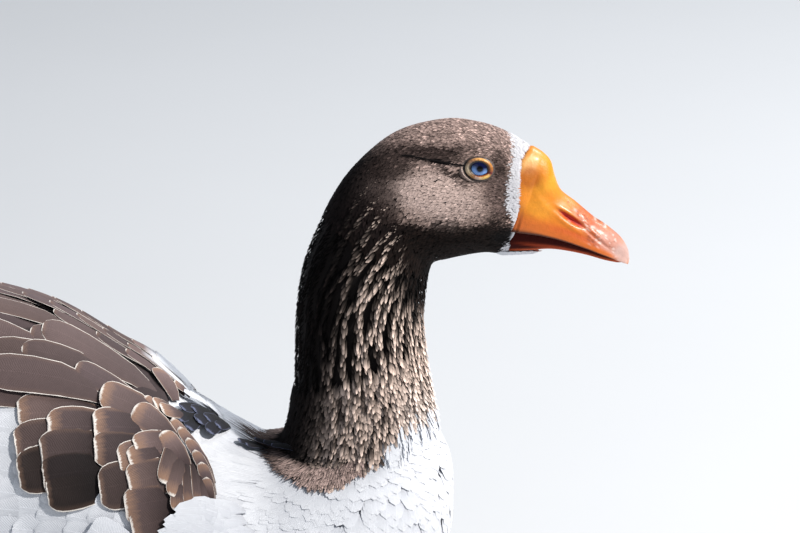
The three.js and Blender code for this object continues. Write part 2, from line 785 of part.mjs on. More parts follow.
let torso = whole_body.subtract(behind);
for (const side of Object.values(SIDES)) torso = torso.subtract(foot(side, TOUCH_GAP));
const tail = joined([
  whole_body.intersect(behind),
  fan(TAIL, TAIL_STEP),
  fan(TAIL_COVERTS, { ...TAIL_COVERTS, roll: 0.06 }),
]);

const neck = neckLoft(0, HEAD_STARTS_AT, 11, 4 * FURROWS).subtract(body_with_gap);
const head_top = NECK_AND_HEAD.length - 1;
const head = headSolid(neckLoft(HEAD_STARTS_AT - 0.4, head_top, 13, 34).subtract(belowHead()));

const goose = new THREE.Group();
goose.add(node("torso", torso, COLOURS.white, 0.85));
goose.add(node("neck", neck, COLOURS.brown, 0.9));
goose.add(node("head", head, COLOURS.brown, 0.9));
goose.add(node("bill_upper", upperBillSolid(), COLOURS.bill, 0.4));
goose.add(node("bill_lower", lowerBillSolid(), COLOURS.bill, 0.4));
goose.add(node("tail", tail, COLOURS.white, 0.85));
for (const [name, side] of Object.entries(SIDES)) {
  goose.add(node("eye_" + name, mirrored(eyeBall(0), side), COLOURS.eye, 0.1));
  goose.add(node("wing_" + name, wing(side, body_with_gap), COLOURS.white, 0.85));
  goose.add(node("saddle_" + name, saddle(side, body_with_gap), COLOURS.saddle, 0.85));
  goose.add(node("foot_" + name, foot(side, 0), COLOURS.bill, 0.5));
}

export default goose;
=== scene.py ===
# %% [markdown]
# # A domestic goose, sitting
# This lesson dresses a life-size goose with saddleback marking: brown head, neck and shoulders on a white
# bird. The imported solids give every size and place, so the first step loads them as a frame. Everything
# made later has to stay with that box.

# %% Load the frame
import math
from collections import namedtuple
import bpy
import numpy as np
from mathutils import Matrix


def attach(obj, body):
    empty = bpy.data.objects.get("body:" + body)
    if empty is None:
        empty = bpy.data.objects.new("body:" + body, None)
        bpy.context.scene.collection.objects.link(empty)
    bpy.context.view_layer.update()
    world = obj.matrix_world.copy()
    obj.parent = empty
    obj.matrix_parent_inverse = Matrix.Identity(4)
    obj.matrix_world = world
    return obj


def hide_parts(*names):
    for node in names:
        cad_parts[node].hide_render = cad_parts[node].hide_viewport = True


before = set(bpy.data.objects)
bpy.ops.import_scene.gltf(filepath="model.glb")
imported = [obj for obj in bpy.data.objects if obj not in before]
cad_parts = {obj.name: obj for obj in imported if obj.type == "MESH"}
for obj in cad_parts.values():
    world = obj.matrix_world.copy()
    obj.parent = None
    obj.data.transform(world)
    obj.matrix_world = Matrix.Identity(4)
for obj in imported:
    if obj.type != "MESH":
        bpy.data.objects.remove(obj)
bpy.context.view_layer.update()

MM = 0.001  # the tables below are in millimetres, Blender's numbers are metres
SIDES = {"left": 1, "right": -1}

# %% [markdown]
# ## The form of the bird
# A goose is two long bodies that meet: the trunk, which is fullest on the belly, and the neck that rises
# from it and bends over into the head. Each could be sculpted freely, but feathers need a surface that can
# be asked for any point and its direction. So both are tables of cross sections, with a smooth curve run
# through them as a boat builder's batten runs through marks.

# %% Tables of cross sections
# The body, from the front of the breast to the rump: x, top, underside, half width.
BODY = [
    (238.9, 88, 70, 8), (236.5, 101, 55, 30), (229, 114, 39, 47), (214, 121, 22, 62), (190, 121, 8, 76),
    (160, 114, -1, 87), (131, 108, -4, 94), (100, 130, -5, 99), (60, 151, -5, 102), (10, 174, -5, 103),
    (-60, 187, -5, 101), (-120, 183, -3, 93), (-180, 168, 8, 76), (-225, 151, 34, 56), (-262, 131, 68, 38),
    (-290, 123.5, 93, 23), (-308, 120.5, 110, 14),
]
BODY_DROOP = -0.1  # the widest line lies this share of the half height below the middle
# Neck and head: nape or crown x, z, throat x, z, half width, and how far the widest line is lowered.
NECK_AND_HEAD = [
    (130, 74, 222, 70, 58, 0), (140, 95, 229, 95, 52, 0), (147.5, 114, 228.4, 117, 45.5, 0),
    (151, 132, 224.4, 136, 39.5, 0), (151.6, 155, 220.8, 158, 34.5, 0), (152.4, 180, 220.4, 178, 31.5, 0),
    (156, 205, 221.8, 193, 30, 0), (165, 229.5, 223.2, 202, 28.5, -0.02),
    (181, 258.5, 226, 207.4, 26.5, -0.06), (204, 279.6, 232.5, 209, 25.2, -0.12),
    (231, 287.6, 243, 211.4, 24.6, -0.16), (251, 286, 254, 213, 23.4, -0.16),
    (266.4, 280.6, 262.4, 212, 20.2, -0.12), (280, 272.4, 269, 212.6, 16.8, -0.08),
]
BILL_ROW = len(NECK_AND_HEAD) - 1
LAST_ROW = len(BODY) - 1


def smooth(low, high, value):
    """0 below low, 1 above high and an S-shaped passage between. High may be the smaller one."""
    t = np.clip((np.asarray(value, float) - low) / (high - low), 0, 1)
    return t * t * (3 - 2 * t)


def curve(rows):
    """A function that runs smoothly through rows of (place, value, value, ...)."""
    table = np.array(rows, float)
    place, value = table[:, 0], table[:, 1:]
    slope = np.empty_like(value)
    slope[1:-1] = (value[2:] - value[:-2]) / (place[2:] - place[:-2])[:, None]
    slope[0] = (value[1] - value[0]) / (place[1] - place[0])
    slope[-1] = (value[-1] - value[-2]) / (place[-1] - place[-2])

    def at(where):
        where = np.asarray(where, float)
        i = np.clip(np.searchsorted(place, where, side="right") - 1, 0, len(place) - 2)
        span = place[i + 1] - place[i]
        t = np.clip((where - place[i]) / span, 0, 1)[..., None]
        rise = value[i + 1] - value[i]
        a = slope[i] * span[..., None] - rise
        b = rise - slope[i + 1] * span[..., None]
        return value[i] + t * rise + t * (1 - t) * (a * (1 - t) + b * t)

    return at


def line(rows):
    """The same for rows of (place, value), giving plain numbers."""
    at = curve(rows)
    return lambda where: at(where)[..., 0]


def numbered(rows):
    """Rows with their number put first, as the place."""
    return [(i, *row) for i, row in enumerate(rows)]


def halved(low, high, passed, rounds):
    """Where between low and high passed() stops being true, found by halving."""
    for _ in range(rounds):
        middle = (low + high) / 2
        yes = passed(middle)
        low, high = np.where(yes, middle, low), np.where(yes, high, middle)
    return (low + high) / 2


def sine_cosine(degrees):
    return np.sin(np.radians(degrees)), np.cos(np.radians(degrees))


def bulged(s, power):
    """A sine made fuller by a power below 1, with its sign kept."""
    return np.sign(s) * np.abs(s) ** power


body_row = curve(numbered(BODY))
neck_row = curve(numbered(NECK_AND_HEAD))
print("body from x", BODY[0][0], "to", BODY[-1][0], "- bill meets the head on row", BILL_ROW)

# %% [markdown]
# ## Points on the trunk and on the neck
# A point is named by a row of the table and a turn round the section in degrees: 0 on the back or crown,
# 90 on the left side, -90 on the right and 180 on the belly or throat. The head is the top of the neck's
# table. Its cheeks, brows and the hollows of the eyes are soft swellings added to the plain section.

# %% Body, neck and face
EYE = {"x": 250.5, "y": 14.9, "z": 264.6, "radius": 8}
# Swellings and hollows of the face: x, height, half length, half depth, degrees of turn, mm outwards.
FACE_FORMS = {
    "cheek": (226, 243, 25, 17, -6, 2.4),
    "jaw muscle": (238, 226, 22, 9, 4, 1.2),
    "hollow round the eye": (251, 264.5, 11, 9, 0, -1.3),
    "brow": (249, 275, 15, 5, 8, 1.1),
    "groove behind the eye": (233, 259.5, 14, 4.5, -10, -1.1),
    "lore": (263.5, 247, 8, 16, 18, -1.3),
    "mouth corner": (262, 224, 9, 3.5, -12, -1.2),
}


def spot(p, x, height, length, depth, turn, power=2):
    """1 at the middle of an ellipse drawn on the bird's side, given by half sizes, fading to 0 outside."""
    dx, dz = p[..., 0] - x, p[..., 2] - height
    c, s = math.cos(math.radians(turn)), math.sin(math.radians(turn))
    away = np.hypot((dx * c + dz * s) / length, (dz * c - dx * s) / depth)
    return np.exp(-1.4 * away ** power)


def body_at(row, turn):
    x, top, under, wide = np.moveaxis(body_row(row), -1, 0)
    s, c = sine_cosine(turn)
    y = wide * bulged(s, 0.92)
    z = under + (top - under) / 2 * (1 + c + BODY_DROOP * s * s)
    return np.stack([x + 0 * s, y, np.maximum(z, 0)], -1)


def neck_at(row, turn):
    nx, nz, tx, tz, wide, droop = np.moveaxis(neck_row(row), -1, 0)
    s, c = sine_cosine(turn)
    lift = c + droop * s * s
    p = np.stack([(nx + tx) / 2 + (nx - tx) / 2 * lift, wide * bulged(s, 0.94),
                  (nz + tz) / 2 + (nz - tz) / 2 * lift], -1)
    swell = sum(out * spot(p, *form) for *form, out in FACE_FORMS.values())
    p[..., 1] += bulged(s, 0.7) * swell * smooth(6.5, 8.5, row)
    return p


def row_at(x):
    """The body's row at a given x."""
    x = np.asarray(x, float)
    return halved(0 * x, 0 * x + LAST_ROW, lambda row: body_row(row)[..., 0] > x, 24)


print("crown at", neck_at(10, 0).round(1), "- widest of the trunk", body_at(9, 90).round(1))

# %% [markdown]
# ## A ground to lay feathers on
# Feathers lie like roof tiles: each is rooted under the ones before it and its tip rests on the ones behind.
# They could be scattered as copies of one object, but a solid mesh keeps every vane when the model is
# exported. So a Ground knows a surface and the way its feathers lie, and gives directions in the surface.

# %% Grounds
STEP_U, STEP_V = 0.02, 0.6  # the steps, in rows and degrees, over which a slope is measured
SHEET_MARGIN = 0.02


def unit(v):
    return v / np.maximum(np.linalg.norm(v, axis=-1, keepdims=True), 1e-9)


class Ground:
    """at(u, v) gives points in mm. Feathers lie towards higher u where lie is 1, lower u where it is -1."""

    def __init__(self, at, lie, rows, height=None):
        self.base, self.lie, self.rows, self.height = at, lie, rows, height

    def slopes(self, u, v):
        along = (self.base(u + STEP_U, v) - self.base(u - STEP_U, v)) / (2 * STEP_U)
        round_ = (self.base(u, v + STEP_V) - self.base(u, v - STEP_V)) / (2 * STEP_V)
        return along, round_

    def normal(self, u, v):
        along, round_ = self.slopes(u, v)
        return unit(np.cross(round_, along)) * self.lie

    def at(self, u, v, out=0):
        out = out + (self.height(u, v) if self.height else 0)
        return self.base(u, v) + self.normal(u, v) * np.asarray(out)[..., None]

    def chart(self, u, v):
        """The place of a root on the skin unwrapped flat, as shares of the sheet."""
        shares = np.stack([(u - self.rows[0]) / (self.rows[1] - self.rows[0]), (v + 180) / 360], -1)
        return SHEET_MARGIN + (1 - 2 * SHEET_MARGIN) * shares


def head_inset(u, v):
    """Crown and jaw are drawn in by the depth of the velvet, which stands out along the outline."""
    beside = smooth(38, 62, np.abs(v)) * smooth(142, 118, np.abs(v))
    return -1.2 * smooth(7.2, 8.6, u) * (1 - 0.75 * beside)


trunk = Ground(body_at, 1, (0, LAST_ROW))
neck = Ground(neck_at, -1, (0, BILL_ROW), head_inset)
print("the back's way out:", trunk.normal(np.array([9]), np.array([0])).round(2)[0])

# %% [markdown]
# ## Colours and markings
# The same markings have to be on the skin and on the coat, or gaps in the coat would show. So each marking is
# a function of a point on the bird: how brown is it here, is this the white band before the bill. Every
# feather asks at its own tip, which frays the borders between colours as real feathers do.

# %% Colour helpers


def shade(red, green, blue):
    """A colour as read off a swatch, 0 to 255, turned into the light values that Blender mixes."""
    c = np.array((red, green, blue)) / 255
    return np.where(c <= 0.04045, c / 12.92, ((c + 0.055) / 1.055) ** 2.4)


def mix(a, b, share):
    return a + (b - a) * np.asarray(share)[..., None]


WHITE = shade(227, 229, 234)
DOWN = shade(212, 215, 222)
UMBER = shade(32, 23, 21)
# The nape's near-black is partly its own colour and partly painted shade on the side away from the light.
NAPE_DARK_AND_SHADED = shade(26, 19, 18)
# The throat's near-black is partly its own colour and partly painted shade under the jaw.
THROAT_DARK_AND_SHADED = shade(22, 14, 11)
BAND = shade(216, 215, 219)
CROWN = shade(152, 130, 122)
FACE = shade(142, 121, 112)
CHEEK = shade(184, 162, 153)
LORE = shade(88, 73, 69)
NECK_TIP = shade(216, 193, 179)
NECK_PALE = shade(244, 228, 218)
BRISTLE = shade(184, 160, 152)
SADDLE_BROWN = shade(88, 74, 75)
SADDLE_WARM = shade(104, 86, 82)
SADDLE_DARK = shade(50, 39, 39)
BUFF = shade(228, 220, 212)
TAN = shade(150, 118, 98)
# The mantle's dark feathers: their own dark, made darker and bluer by painted shade, as in the neck's shadow.
MANTLE_DARK_AND_SHADED = shade(34, 32, 37)
BLACK = shade(14, 11, 11)

# %% [markdown]
# ## Markings
# A border is written as a few marks in side view. A mark on the side of the bird is drawn a little lower
# than the same mark on the middle, as the borders dip over the flanks.

# %% Marking functions
DIP = 0.268  # how far a border drops for each mm away from the middle
# The white band's rear edge: level and x. The collar's border: x and level.
band_line = line([(205, 261), (214, 262.5), (220, 267), (228, 268.6), (239.3, 265.3), (247.7, 265.9),
                  (258.9, 267.5), (270, 268.6), (280.1, 266.4), (288, 263)])
collar_line = line([(118, 190), (130, 140), (138, 106), (145.5, 91), (160.6, 80.5), (176, 82.5), (195, 95),
                    (202.7, 108), (219, 118.8), (228, 128), (240, 150)])


def level(p):
    """The height at which a border is drawn."""
    return p[..., 2] - DIP * np.abs(p[..., 1])


def turn_at(ground, x, height):
    """The turn from the spine at which the bird's side passes a height drawn in side view."""
    u = row_at(x)
    return halved(0 * u + 2, 0 * u + 125, lambda turn: level(ground.at(u, turn)) > height, 20)


def flat_view(p):
    """Points with their level in place of their height, for spots drawn in side view."""
    return np.stack([p[..., 0], p[..., 1], level(p)], -1)


def brown_neck(p, ragged=0):
    """1 on the brown head and neck, 0 on the white below the collar's border."""
    x = p[..., 0]
    return smooth(-1.2, 1.2, level(p) - collar_line(x) + ragged) * smooth(126, 132, x)


def white_band(p, ragged=0):
    """1 on the white band that runs round the base of the bill."""
    return smooth(-0.5, 0.5, p[..., 0] - band_line(level(p)) + ragged)


FACE_MARKS = [
    # colour, x, level, half length, half depth, turn, strength
    # The pale cheek: partly its own colour, partly painted light on the cheek's bulge.
    (CHEEK, 224, 246, 27, 13, -8, 1),
    (CHEEK, 236, 239, 19, 11, 0, 0.5),
    (LORE, 261.5, 246, 9.5, 19, 12, 0.9),
    (LORE, 246, 252, 8, 3, 28, 0.55),
    (UMBER, 227, 267.8, 19, 4.6, -6, 0.9),
    (UMBER, 243, 270.5, 12, 2.6, 6, 0.55),
    (BLACK, 229, 263.2, 13, 1.3, -4, 1),
    # Dark behind the eye and the ear: partly own colour, partly painted shade.
    (UMBER, 203, 262, 17, 12, 20, 0.85),
    (UMBER, 200, 240, 9, 16, 10, 0.7),
    (UMBER, 231, 259, 5, 1.3, -42, 0.8),
    (UMBER, 236, 256, 5.5, 1.2, -42, 0.8),
    (UMBER, 240.5, 252.6, 6, 1.1, -40, 0.7),
    (UMBER, 246.5, 254.2, 5, 1, -30, 0.65),
    (UMBER, 261.5, 263, 5, 8.5, 0, 0.7),
    (BLACK, 264.5, 221, 7, 5.5, 10, 0.95),
    # dark above the mouth corner: partly own colour, partly painted shade
    (THROAT_DARK_AND_SHADED, 260, 231, 7, 4, 0, 0.5),
]
# Painted shade in the creases where the neck bends on the breast: x, level, half length, half depth, turn.
NECK_CREASE_SHADES = [(184, 106.5, 19, 1.1, -4), (188, 100, 15, 1, 6), (172, 96.5, 12, 0.8, -12),
                (199, 121, 7, 3, 80), (176, 131, 2.2, 9, 0), (188, 138, 1.8, 11, 4)]


def head_colour(p):
    """The brown of the head and neck, before the white band is laid over it."""
    x, h = p[..., 0], level(p)
    q = flat_view(p)
    # Dark under the jaw: partly own colour, partly painted shade.
    colour = mix(THROAT_DARK_AND_SHADED, FACE, smooth(227, 231.5, h - 1.6 * np.sin(x / 4) - 0.9 * np.sin(x / 1.7)))
    colour = mix(colour, CROWN, smooth(252, 268, h))
    # Darker towards the nape: partly own colour, partly painted shade.
    behind = smooth(213, 192, x + 0.25 * (h - 240))
    colour = mix(colour, NAPE_DARK_AND_SHADED, behind * smooth(208, 228, h))
    for tint, *form, strength in FACE_MARKS:
        colour = mix(colour, tint, strength * np.clip(1.35 * spot(q, *form, 3), 0, 1))
    return colour


def neck_front(p):
    """0 on the nape's side of the neck, 1 on its front."""
    return smooth(157, 206, p[..., 0] + 0.2 * (150 - level(p)))


def neck_colour(p):
    """Feather tips of the neck: nearly black behind, beige in front, darkest below the jaw. The dark back and
    the dark below the jaw are partly own colour and partly painted shade, and the beige front is partly
    painted light.
    """
    x, h = p[..., 0], level(p)
    # From the dark nape to the beige front: partly own colour, partly painted light and shade as lit from the
    # front.
    colour = mix(NAPE_DARK_AND_SHADED, NECK_TIP, smooth(0, 0.55, neck_front(p)))
    # Darkest under the jaw, partly as painted shade.
    under_jaw_dark_and_shaded = smooth(172, 196, h + 0.55 * (x - 205))
    colour = mix(colour, THROAT_DARK_AND_SHADED, under_jaw_dark_and_shaded * smooth(196, 214, x))
    colour = mix(colour, NECK_PALE, 0.8 * smooth(155, 120, h) * smooth(196, 222, x))
    # Painted shade in the creases at the foot of the neck.
    crease_shade = np.max([spot(flat_view(p), *form, 4) for form in NECK_CREASE_SHADES], axis=0)
    return mix(colour, UMBER, 0.85 * smooth(0.2, 0.6, crease_shade))


# %% [markdown]
# ## Camera, light and floor
# The goose is looked at from its right side, a little from above and from far away, so that nothing is
# foreshortened. One broad light high in front of the bird gives the neck's furrows their relief, a dim
# one fills the shadows, and the floor is plain and pale.

# %% Camera
CAMERA = {"aim": (0.2081, 0, 0.2049), "distance": 4, "down": 15, "lens": 333.0}


def set_camera():
    down = math.radians(CAMERA["down"])
    aim = np.array(CAMERA["aim"])
    data = bpy.data.cameras.new("camera")
    data.lens, data.sensor_width = CAMERA["lens"], 36
    data.clip_end = 50
    camera = bpy.data.objects.new("camera", data)
    camera.location = aim + CAMERA["distance"] * np.array([0, -math.cos(down), math.sin(down)])
    camera.rotation_euler = (math.radians(90) - down, 0, 0)
    bpy.context.scene.collection.objects.link(camera)
    bpy.context.scene.camera = camera


# Lights: place in metres, width, watts and colour. All of them point at LIT.
LIT = (0.1, 0, 0.15)
LIGHTS = {
    "key": ((1.94, -0.67, 1.91), 0.25, 76, (1, 0.97, 0.93)),
    "fill": ((-0.9, -2.6, 0.9), 1.8, 6, (0.85, 0.92, 1)),
    "rim": ((1.5, 1.3, 2), 0.8, 50, (0.95, 0.97, 1)),
}
SKY = {"colour": (0.66, 0.75, 0.9, 1), "strength": 0.27}


def area_light(name, place, size, watts, colour):
    data = bpy.data.lights.new(name, "AREA")
    data.shape, data.size, data.energy, data.color = "DISK", size, watts, colour
    lamp = bpy.data.objects.new(name, data)
    lamp.location = place
    away = np.array(place) - np.array(LIT)
    flat = math.hypot(away[0], away[1])
    lamp.rotation_euler = (math.atan2(flat, away[2]), 0, math.atan2(away[1], away[0]) + math.pi / 2)
    bpy.context.scene.collection.objects.link(lamp)


def set_lights():
    for name, light in LIGHTS.items():
        area_light(name, *light)
    world = bpy.data.worlds.new("studio")
    world.use_nodes = True
    sky = world.node_tree.nodes["Background"]
    sky.inputs["Color"].default_value = SKY["colour"]
    sky.inputs["Strength"].default_value = SKY["strength"]
    bpy.context.scene.world = world
    bpy.context.scene.view_settings.view_transform = "Standard"


set_camera()
set_lights()
print("camera at", [round(v, 3) for v in bpy.context.scene.camera.location])

# %% [markdown]
# ## Making a mesh from numbers
# A vane here is a small closed solid: a top that is arched over the shaft, and a flat underside that shares
# its rim. A plan lists where its points lie, as shares of the length and the width. The plan is made once
# and used for thousands of vanes.

# %% The plan of a vane


def plan(stations, columns=3, sharp_root=True, sharp_tip=True, blend=(0.2, 0.95)):
    """Stations are (share of the length, share of the width) from root to tip. The root's colour turns into
    the tip's between the two shares of the length in blend."""
    along, across, wide, grid, rim = [], [], [], [], []
    last = len(stations) - 1
    for i, (t, w) in enumerate(stations):
        single = (i == 0 and sharp_root) or (i == last and sharp_tip)
        places = [0] if single else list(np.linspace(-1, 1, columns))
        first = len(along)
        along += [t] * len(places)
        across += places
        wide += [w] * len(places)
        rim += [i in (0, last) or abs(c) == 1 for c in places]
        grid.append([first] * columns if single else list(range(first, first + columns)))
    faces = []
    for low, high in zip(grid, grid[1:]):
        for j in range(columns - 1):
            faces += [(low[j], high[j], high[j + 1]), (low[j], high[j + 1], low[j + 1])]
        faces += [(low[0], low[-1], high[-1]), (low[0], high[-1], high[0])]
    for j in range(1, columns - 1):
        faces += [(grid[0][0], grid[0][j], grid[0][j + 1]), (grid[-1][0], grid[-1][j + 1], grid[-1][j])]
    faces = [f for f in faces if len(set(f)) == 3]
    return {"along": np.array(along), "across": np.array(across), "wide": np.array(wide),
            "faces": np.array(faces), "rim": np.array(rim), "blend": blend}


SPECK = plan([(0, 0), (0.62, 1), (1, 0)])
TUFT = plan([(0, 0), (0.38, 0.86), (0.68, 0.9), (0.88, 0.7), (1, 0)], blend=(0.5, 0.86))
LEAF = plan([(0, 0.35), (0.3, 0.85), (0.62, 1), (0.87, 0.72), (1, 0)], 3, False)
SCAPULAR = plan([(0, 0.4), (0.2, 0.66), (0.4, 0.88), (0.58, 0.99), (0.72, 1), (0.83, 0.97), (0.91, 0.88),
                 (0.965, 0.74), (1, 0.56)], 9, False, False)
ROUND_SCAPULAR = plan([(0, 0.4), (0.25, 0.72), (0.5, 0.95), (0.68, 1), (0.82, 0.99), (0.9, 0.88),
                       (0.95, 0.7), (0.985, 0.45), (1, 0.2)], 9, False, False)
print("triangles: speck", len(SPECK["faces"]), "tuft", len(TUFT["faces"]), "leaf", len(LEAF["faces"]))

# %% Laying vanes on a ground
PATCH = 0.003  # the side of a tuft's patch on the unwrapped sheet


def map_step(step, along, round_):
    """A small step in mm, as a step in rows and a step in degrees."""
    e, f, g = (np.sum(p * q, -1) for p, q in ((along, along), (along, round_), (round_, round_)))
    da, dr = np.sum(step * along, -1), np.sum(step * round_, -1)
    area = np.maximum(e * g - f * f, 1e-6)
    return (da * g - dr * f) / area, (dr * e - da * f) / area


def lay(ground, shape, u, v, length, width, paint, dice, sunk, rise, ramp, arch, lean=0, to=None, tilt=0,
        lift=0, fray=0, patch=(PATCH, PATCH)):
    """Vanes rooted at (u, v), sizes in mm. Lean turns them towards the belly; or to gives their tips.

    The root lies sunk mm below the ground. The vane comes up to rise less ramp, and climbs the ramp to its
    tip, with its shaft arch mm above its edges. Tilt raises the upper edge, and lift bends the tip away.
    """
    count = len(u)
    sizes = (length, width, lean, rise, sunk, lift, tilt)
    length, width, lean, rise, sunk, lift, tilt = (
        np.broadcast_to(np.asarray(size, float), count)[:, None] for size in sizes)
    t, c, w = shape["along"], shape["across"], shape["wide"]
    share = t + dice.uniform(-1, 1, (count, len(t))) * fray * (t > 0.9)
    beside = (width / 2 * c * w)[..., None]
    along, round_ = ground.slopes(u, v)
    out = unit(np.cross(round_, along)) * ground.lie
    run = unit(along) * ground.lie
    side = np.cross(out, run)
    down = (np.sign(np.sum(side * round_, -1)) * np.where(v < 0, -1, 1))[:, None]
    if to is None:
        turn = np.radians(lean) * down
        forward = run * np.cos(turn) + side * np.sin(turn)
        step = (length * share)[..., None] * forward[:, None] + beside * np.cross(out, forward)[:, None]
        du, dv = map_step(step, along[:, None], round_[:, None])
        uu, vv = u[:, None] + du, v[:, None] + dv
        middle = ground.at(u, v) + forward * 0.7 * length
    else:
        du, dv = (to[0] - u)[:, None], (to[1] - v)[:, None]
        uu, vv = u[:, None] + du * share, v[:, None] + dv * share
        along, round_ = ground.slopes(uu, vv)
        forward = unit(along * du[..., None] + round_ * dv[..., None])
        across = np.cross(unit(np.cross(round_, along)) * ground.lie, forward)
        du, dv = map_step(beside * across, along, round_)
        uu, vv = uu + du, vv + dv
        middle = ground.at(*to)
    upper = -c * down
    h = -sunk + (sunk + rise - ramp) * smooth(0, 0.4, t) + ramp * t + lift * t ** 4
    h = h + arch * (1 - c ** 2) + tilt * upper * np.minimum(w, 1)
    points = ground.at(uu, vv, h)
    root_tint, tip_tint = paint(middle, dice)
    blend = smooth(shape["blend"][0], shape["blend"][1], t)[None, :, None]
    tint = root_tint[:, None] * (1 - blend) + tip_tint[:, None] * blend
    vane = np.stack(np.broadcast_arrays((1 - t) * length / 10, upper, dice.uniform(0, 1, (count, 1))), -1)
    sheet = ground.chart(u, v)[:, None] + np.stack([t * patch[0], (c + 1) / 2 * patch[1]], -1)[None]
    faces = shape["faces"][None] + (np.arange(count) * len(t))[:, None, None]
    return {"points": points.reshape(-1, 3), "faces": faces.reshape(-1, 3),
            "tint": tint.reshape(-1, tint.shape[-1]), "vane": vane.reshape(-1, 3),
            "sheet": sheet.reshape(-1, 2), "rim": np.tile(shape["rim"], count)}


def joined(batches):
    """Several batches of vanes as one."""
    made = {key: np.concatenate([b[key] for b in batches]) for key in batches[0] if key != "faces"}
    starts = np.cumsum([0] + [len(b["points"]) for b in batches[:-1]])
    made["faces"] = np.concatenate([b["faces"] + s for b, s in zip(batches, starts)])
    return made


# %% [markdown]
# ## From numbers to an object
# Blender takes whole arrays at once, which is far quicker than adding one vertex at a time. The rim of every
# vane is marked sharp, so that its top shades as one smooth arch. Each point also keeps its colour and its
# place on the vane, which the materials read.

# %% Objects
FLOOR_CLEARANCE = 0.2  # mm that the coat and the soles keep from the floor


def raw_mesh(name, points, faces):
    """A mesh of triangles from points in mm."""
    mesh = bpy.data.meshes.new(name)
    mesh.vertices.add(len(points))
    mesh.vertices.foreach_set("co", np.asarray(points * MM, np.float32).ravel())
    mesh.loops.add(faces.size)
    mesh.loops.foreach_set("vertex_index", faces.astype(np.int32).ravel())
    mesh.polygons.add(len(faces))
    mesh.polygons.foreach_set("loop_start", np.arange(0, faces.size, 3, dtype=np.int32))
    mesh.polygons.foreach_set("use_smooth", np.full(len(faces), True))
    mesh.update(calc_edges=True)
    return mesh


def tinted(mesh, tint, vane=None):
    """Stores each point's colour, with its edge's warmth as a fourth number, and its place on the vane."""
    rgba = np.ones((len(tint), 4), np.float32)
    rgba[:, :tint.shape[1]] = tint
    mesh.attributes.new("plume", "FLOAT_COLOR", "POINT").data.foreach_set("color", rgba.ravel())
    if vane is not None:
        mesh.attributes.new("vane", "FLOAT_VECTOR", "POINT").data.foreach_set(
            "vector", vane.astype(np.float32).ravel())


def sheet_map(mesh, sheet):
    """The map called OFBake, on which every vane has a small patch at its root's place."""
    corner = np.empty(len(mesh.loops), np.int32)
    mesh.loops.foreach_get("vertex_index", corner)
    mesh.uv_layers.new(name="OFBake").data.foreach_set("uv", sheet[corner].astype(np.float32).ravel())


def piece(name, mesh, material, nodes):
    """An object that rides on the bird and stands for the CAD nodes given."""
    thing = bpy.data.objects.new(name, mesh)
    bpy.context.scene.collection.objects.link(thing)
    mesh.materials.append(material)
    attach(thing, "root")
    if nodes:
        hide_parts(*nodes)
    return thing


def coat(name, batches, material, nodes=()):
    """One piece of plumage from batches of vanes."""
    made = joined(batches)
    made["points"][:, 2] = np.maximum(made["points"][:, 2], FLOOR_CLEARANCE)
    mesh = raw_mesh(name, made["points"], made["faces"])
    tinted(mesh, made["tint"], made["vane"])
    sheet_map(mesh, made["sheet"])
    ends = np.empty(2 * len(mesh.edges), np.int32)
    mesh.edges.foreach_get("vertices", ends)
    on_rim = made["rim"][ends].reshape(-1, 2).all(1)
    mesh.attributes.new("sharp_edge", "BOOLEAN", "EDGE").data.foreach_set("value", on_rim)
    print(f"{name}: {len(made['faces'])} triangles")
    return piece(name, mesh, material, nodes)


# %% [markdown]
# ## Where the roots go
# Roots stand in rings round the bird, each ring half a step out of line with the last, as in a tiled roof.
# Where a ring is crowded, as on the inside of the neck's bend, some roots are left out by chance, so that
# the feathers stay equally dense.

# %% Roots in rings
AROUND = np.arange(-180, 181, 4.0)
# A kind of feather: first and last row of its roots, steps between and along the rings, length, width.
Kind = namedtuple("Kind", "first last pitch gap length width")


def sized(kind, size):
    return kind.length * size, kind.width * size


def rings(ground, first, last, pitch, gap, dice, jitter):
    """Roots between two rows. Pitch is the step from ring to ring and gap the step round a ring, in mm."""
    fine = np.linspace(first, last, 400)
    speed = np.linalg.norm(ground.slopes(fine[:, None], AROUND[None])[0], axis=-1)
    top_speed = line(np.column_stack([fine, speed.max(1)]))
    us, vs, number, u = [], [], 0, first
    while u < last:
        circle = ground.base(np.full_like(AROUND, u), AROUND)
        run = np.concatenate([[0], np.cumsum(np.linalg.norm(np.diff(circle, axis=0), axis=1))])
        here_gap = gap(u) if callable(gap) else gap
        here_pitch = pitch(u) if callable(pitch) else pitch
        count = max(int(round(run[-1] / here_gap)), 3)
        offset = 0.5 * (number % 2) + dice.uniform(-jitter, jitter, count)
        vs.append(np.interp((np.arange(count) + offset) % count / count * run[-1], run, AROUND))
        us.append(u + dice.uniform(-jitter, jitter, count) * here_pitch / top_speed(u))
        u += here_pitch / float(top_speed(u))
        number += 1
    us, vs = np.concatenate(us), np.concatenate(vs)
    local = np.linalg.norm(ground.slopes(us, vs)[0], axis=-1)
    keep = dice.uniform(0, 1, len(us)) < np.clip(local / top_speed(us) * 1.12, 0, 1)
    return us[keep], vs[keep]


# %% [markdown]
# ## Shader groups
# Two effects are needed by several finishes, so each is a node group with named sockets. "Vane barbs" draws
# the fine slanting barbs of a feather from the place on the vane. "Mottle" varies a colour softly over the
# surface, as wear and growth do.

# %% Node helpers


def group(name, inputs, outputs):
    """An empty shader group with float sockets, and its input and output nodes."""
    made = bpy.data.node_groups.new(name, "ShaderNodeTree")
    for label, kind, value in inputs:
        socket = made.interface.new_socket(label, in_out="INPUT", socket_type=kind)
        if value is not None:
            socket.default_value = value
    for label, kind in outputs:
        made.interface.new_socket(label, in_out="OUTPUT", socket_type=kind)
    return made, made.nodes.new("NodeGroupInput"), made.nodes.new("NodeGroupOutput")


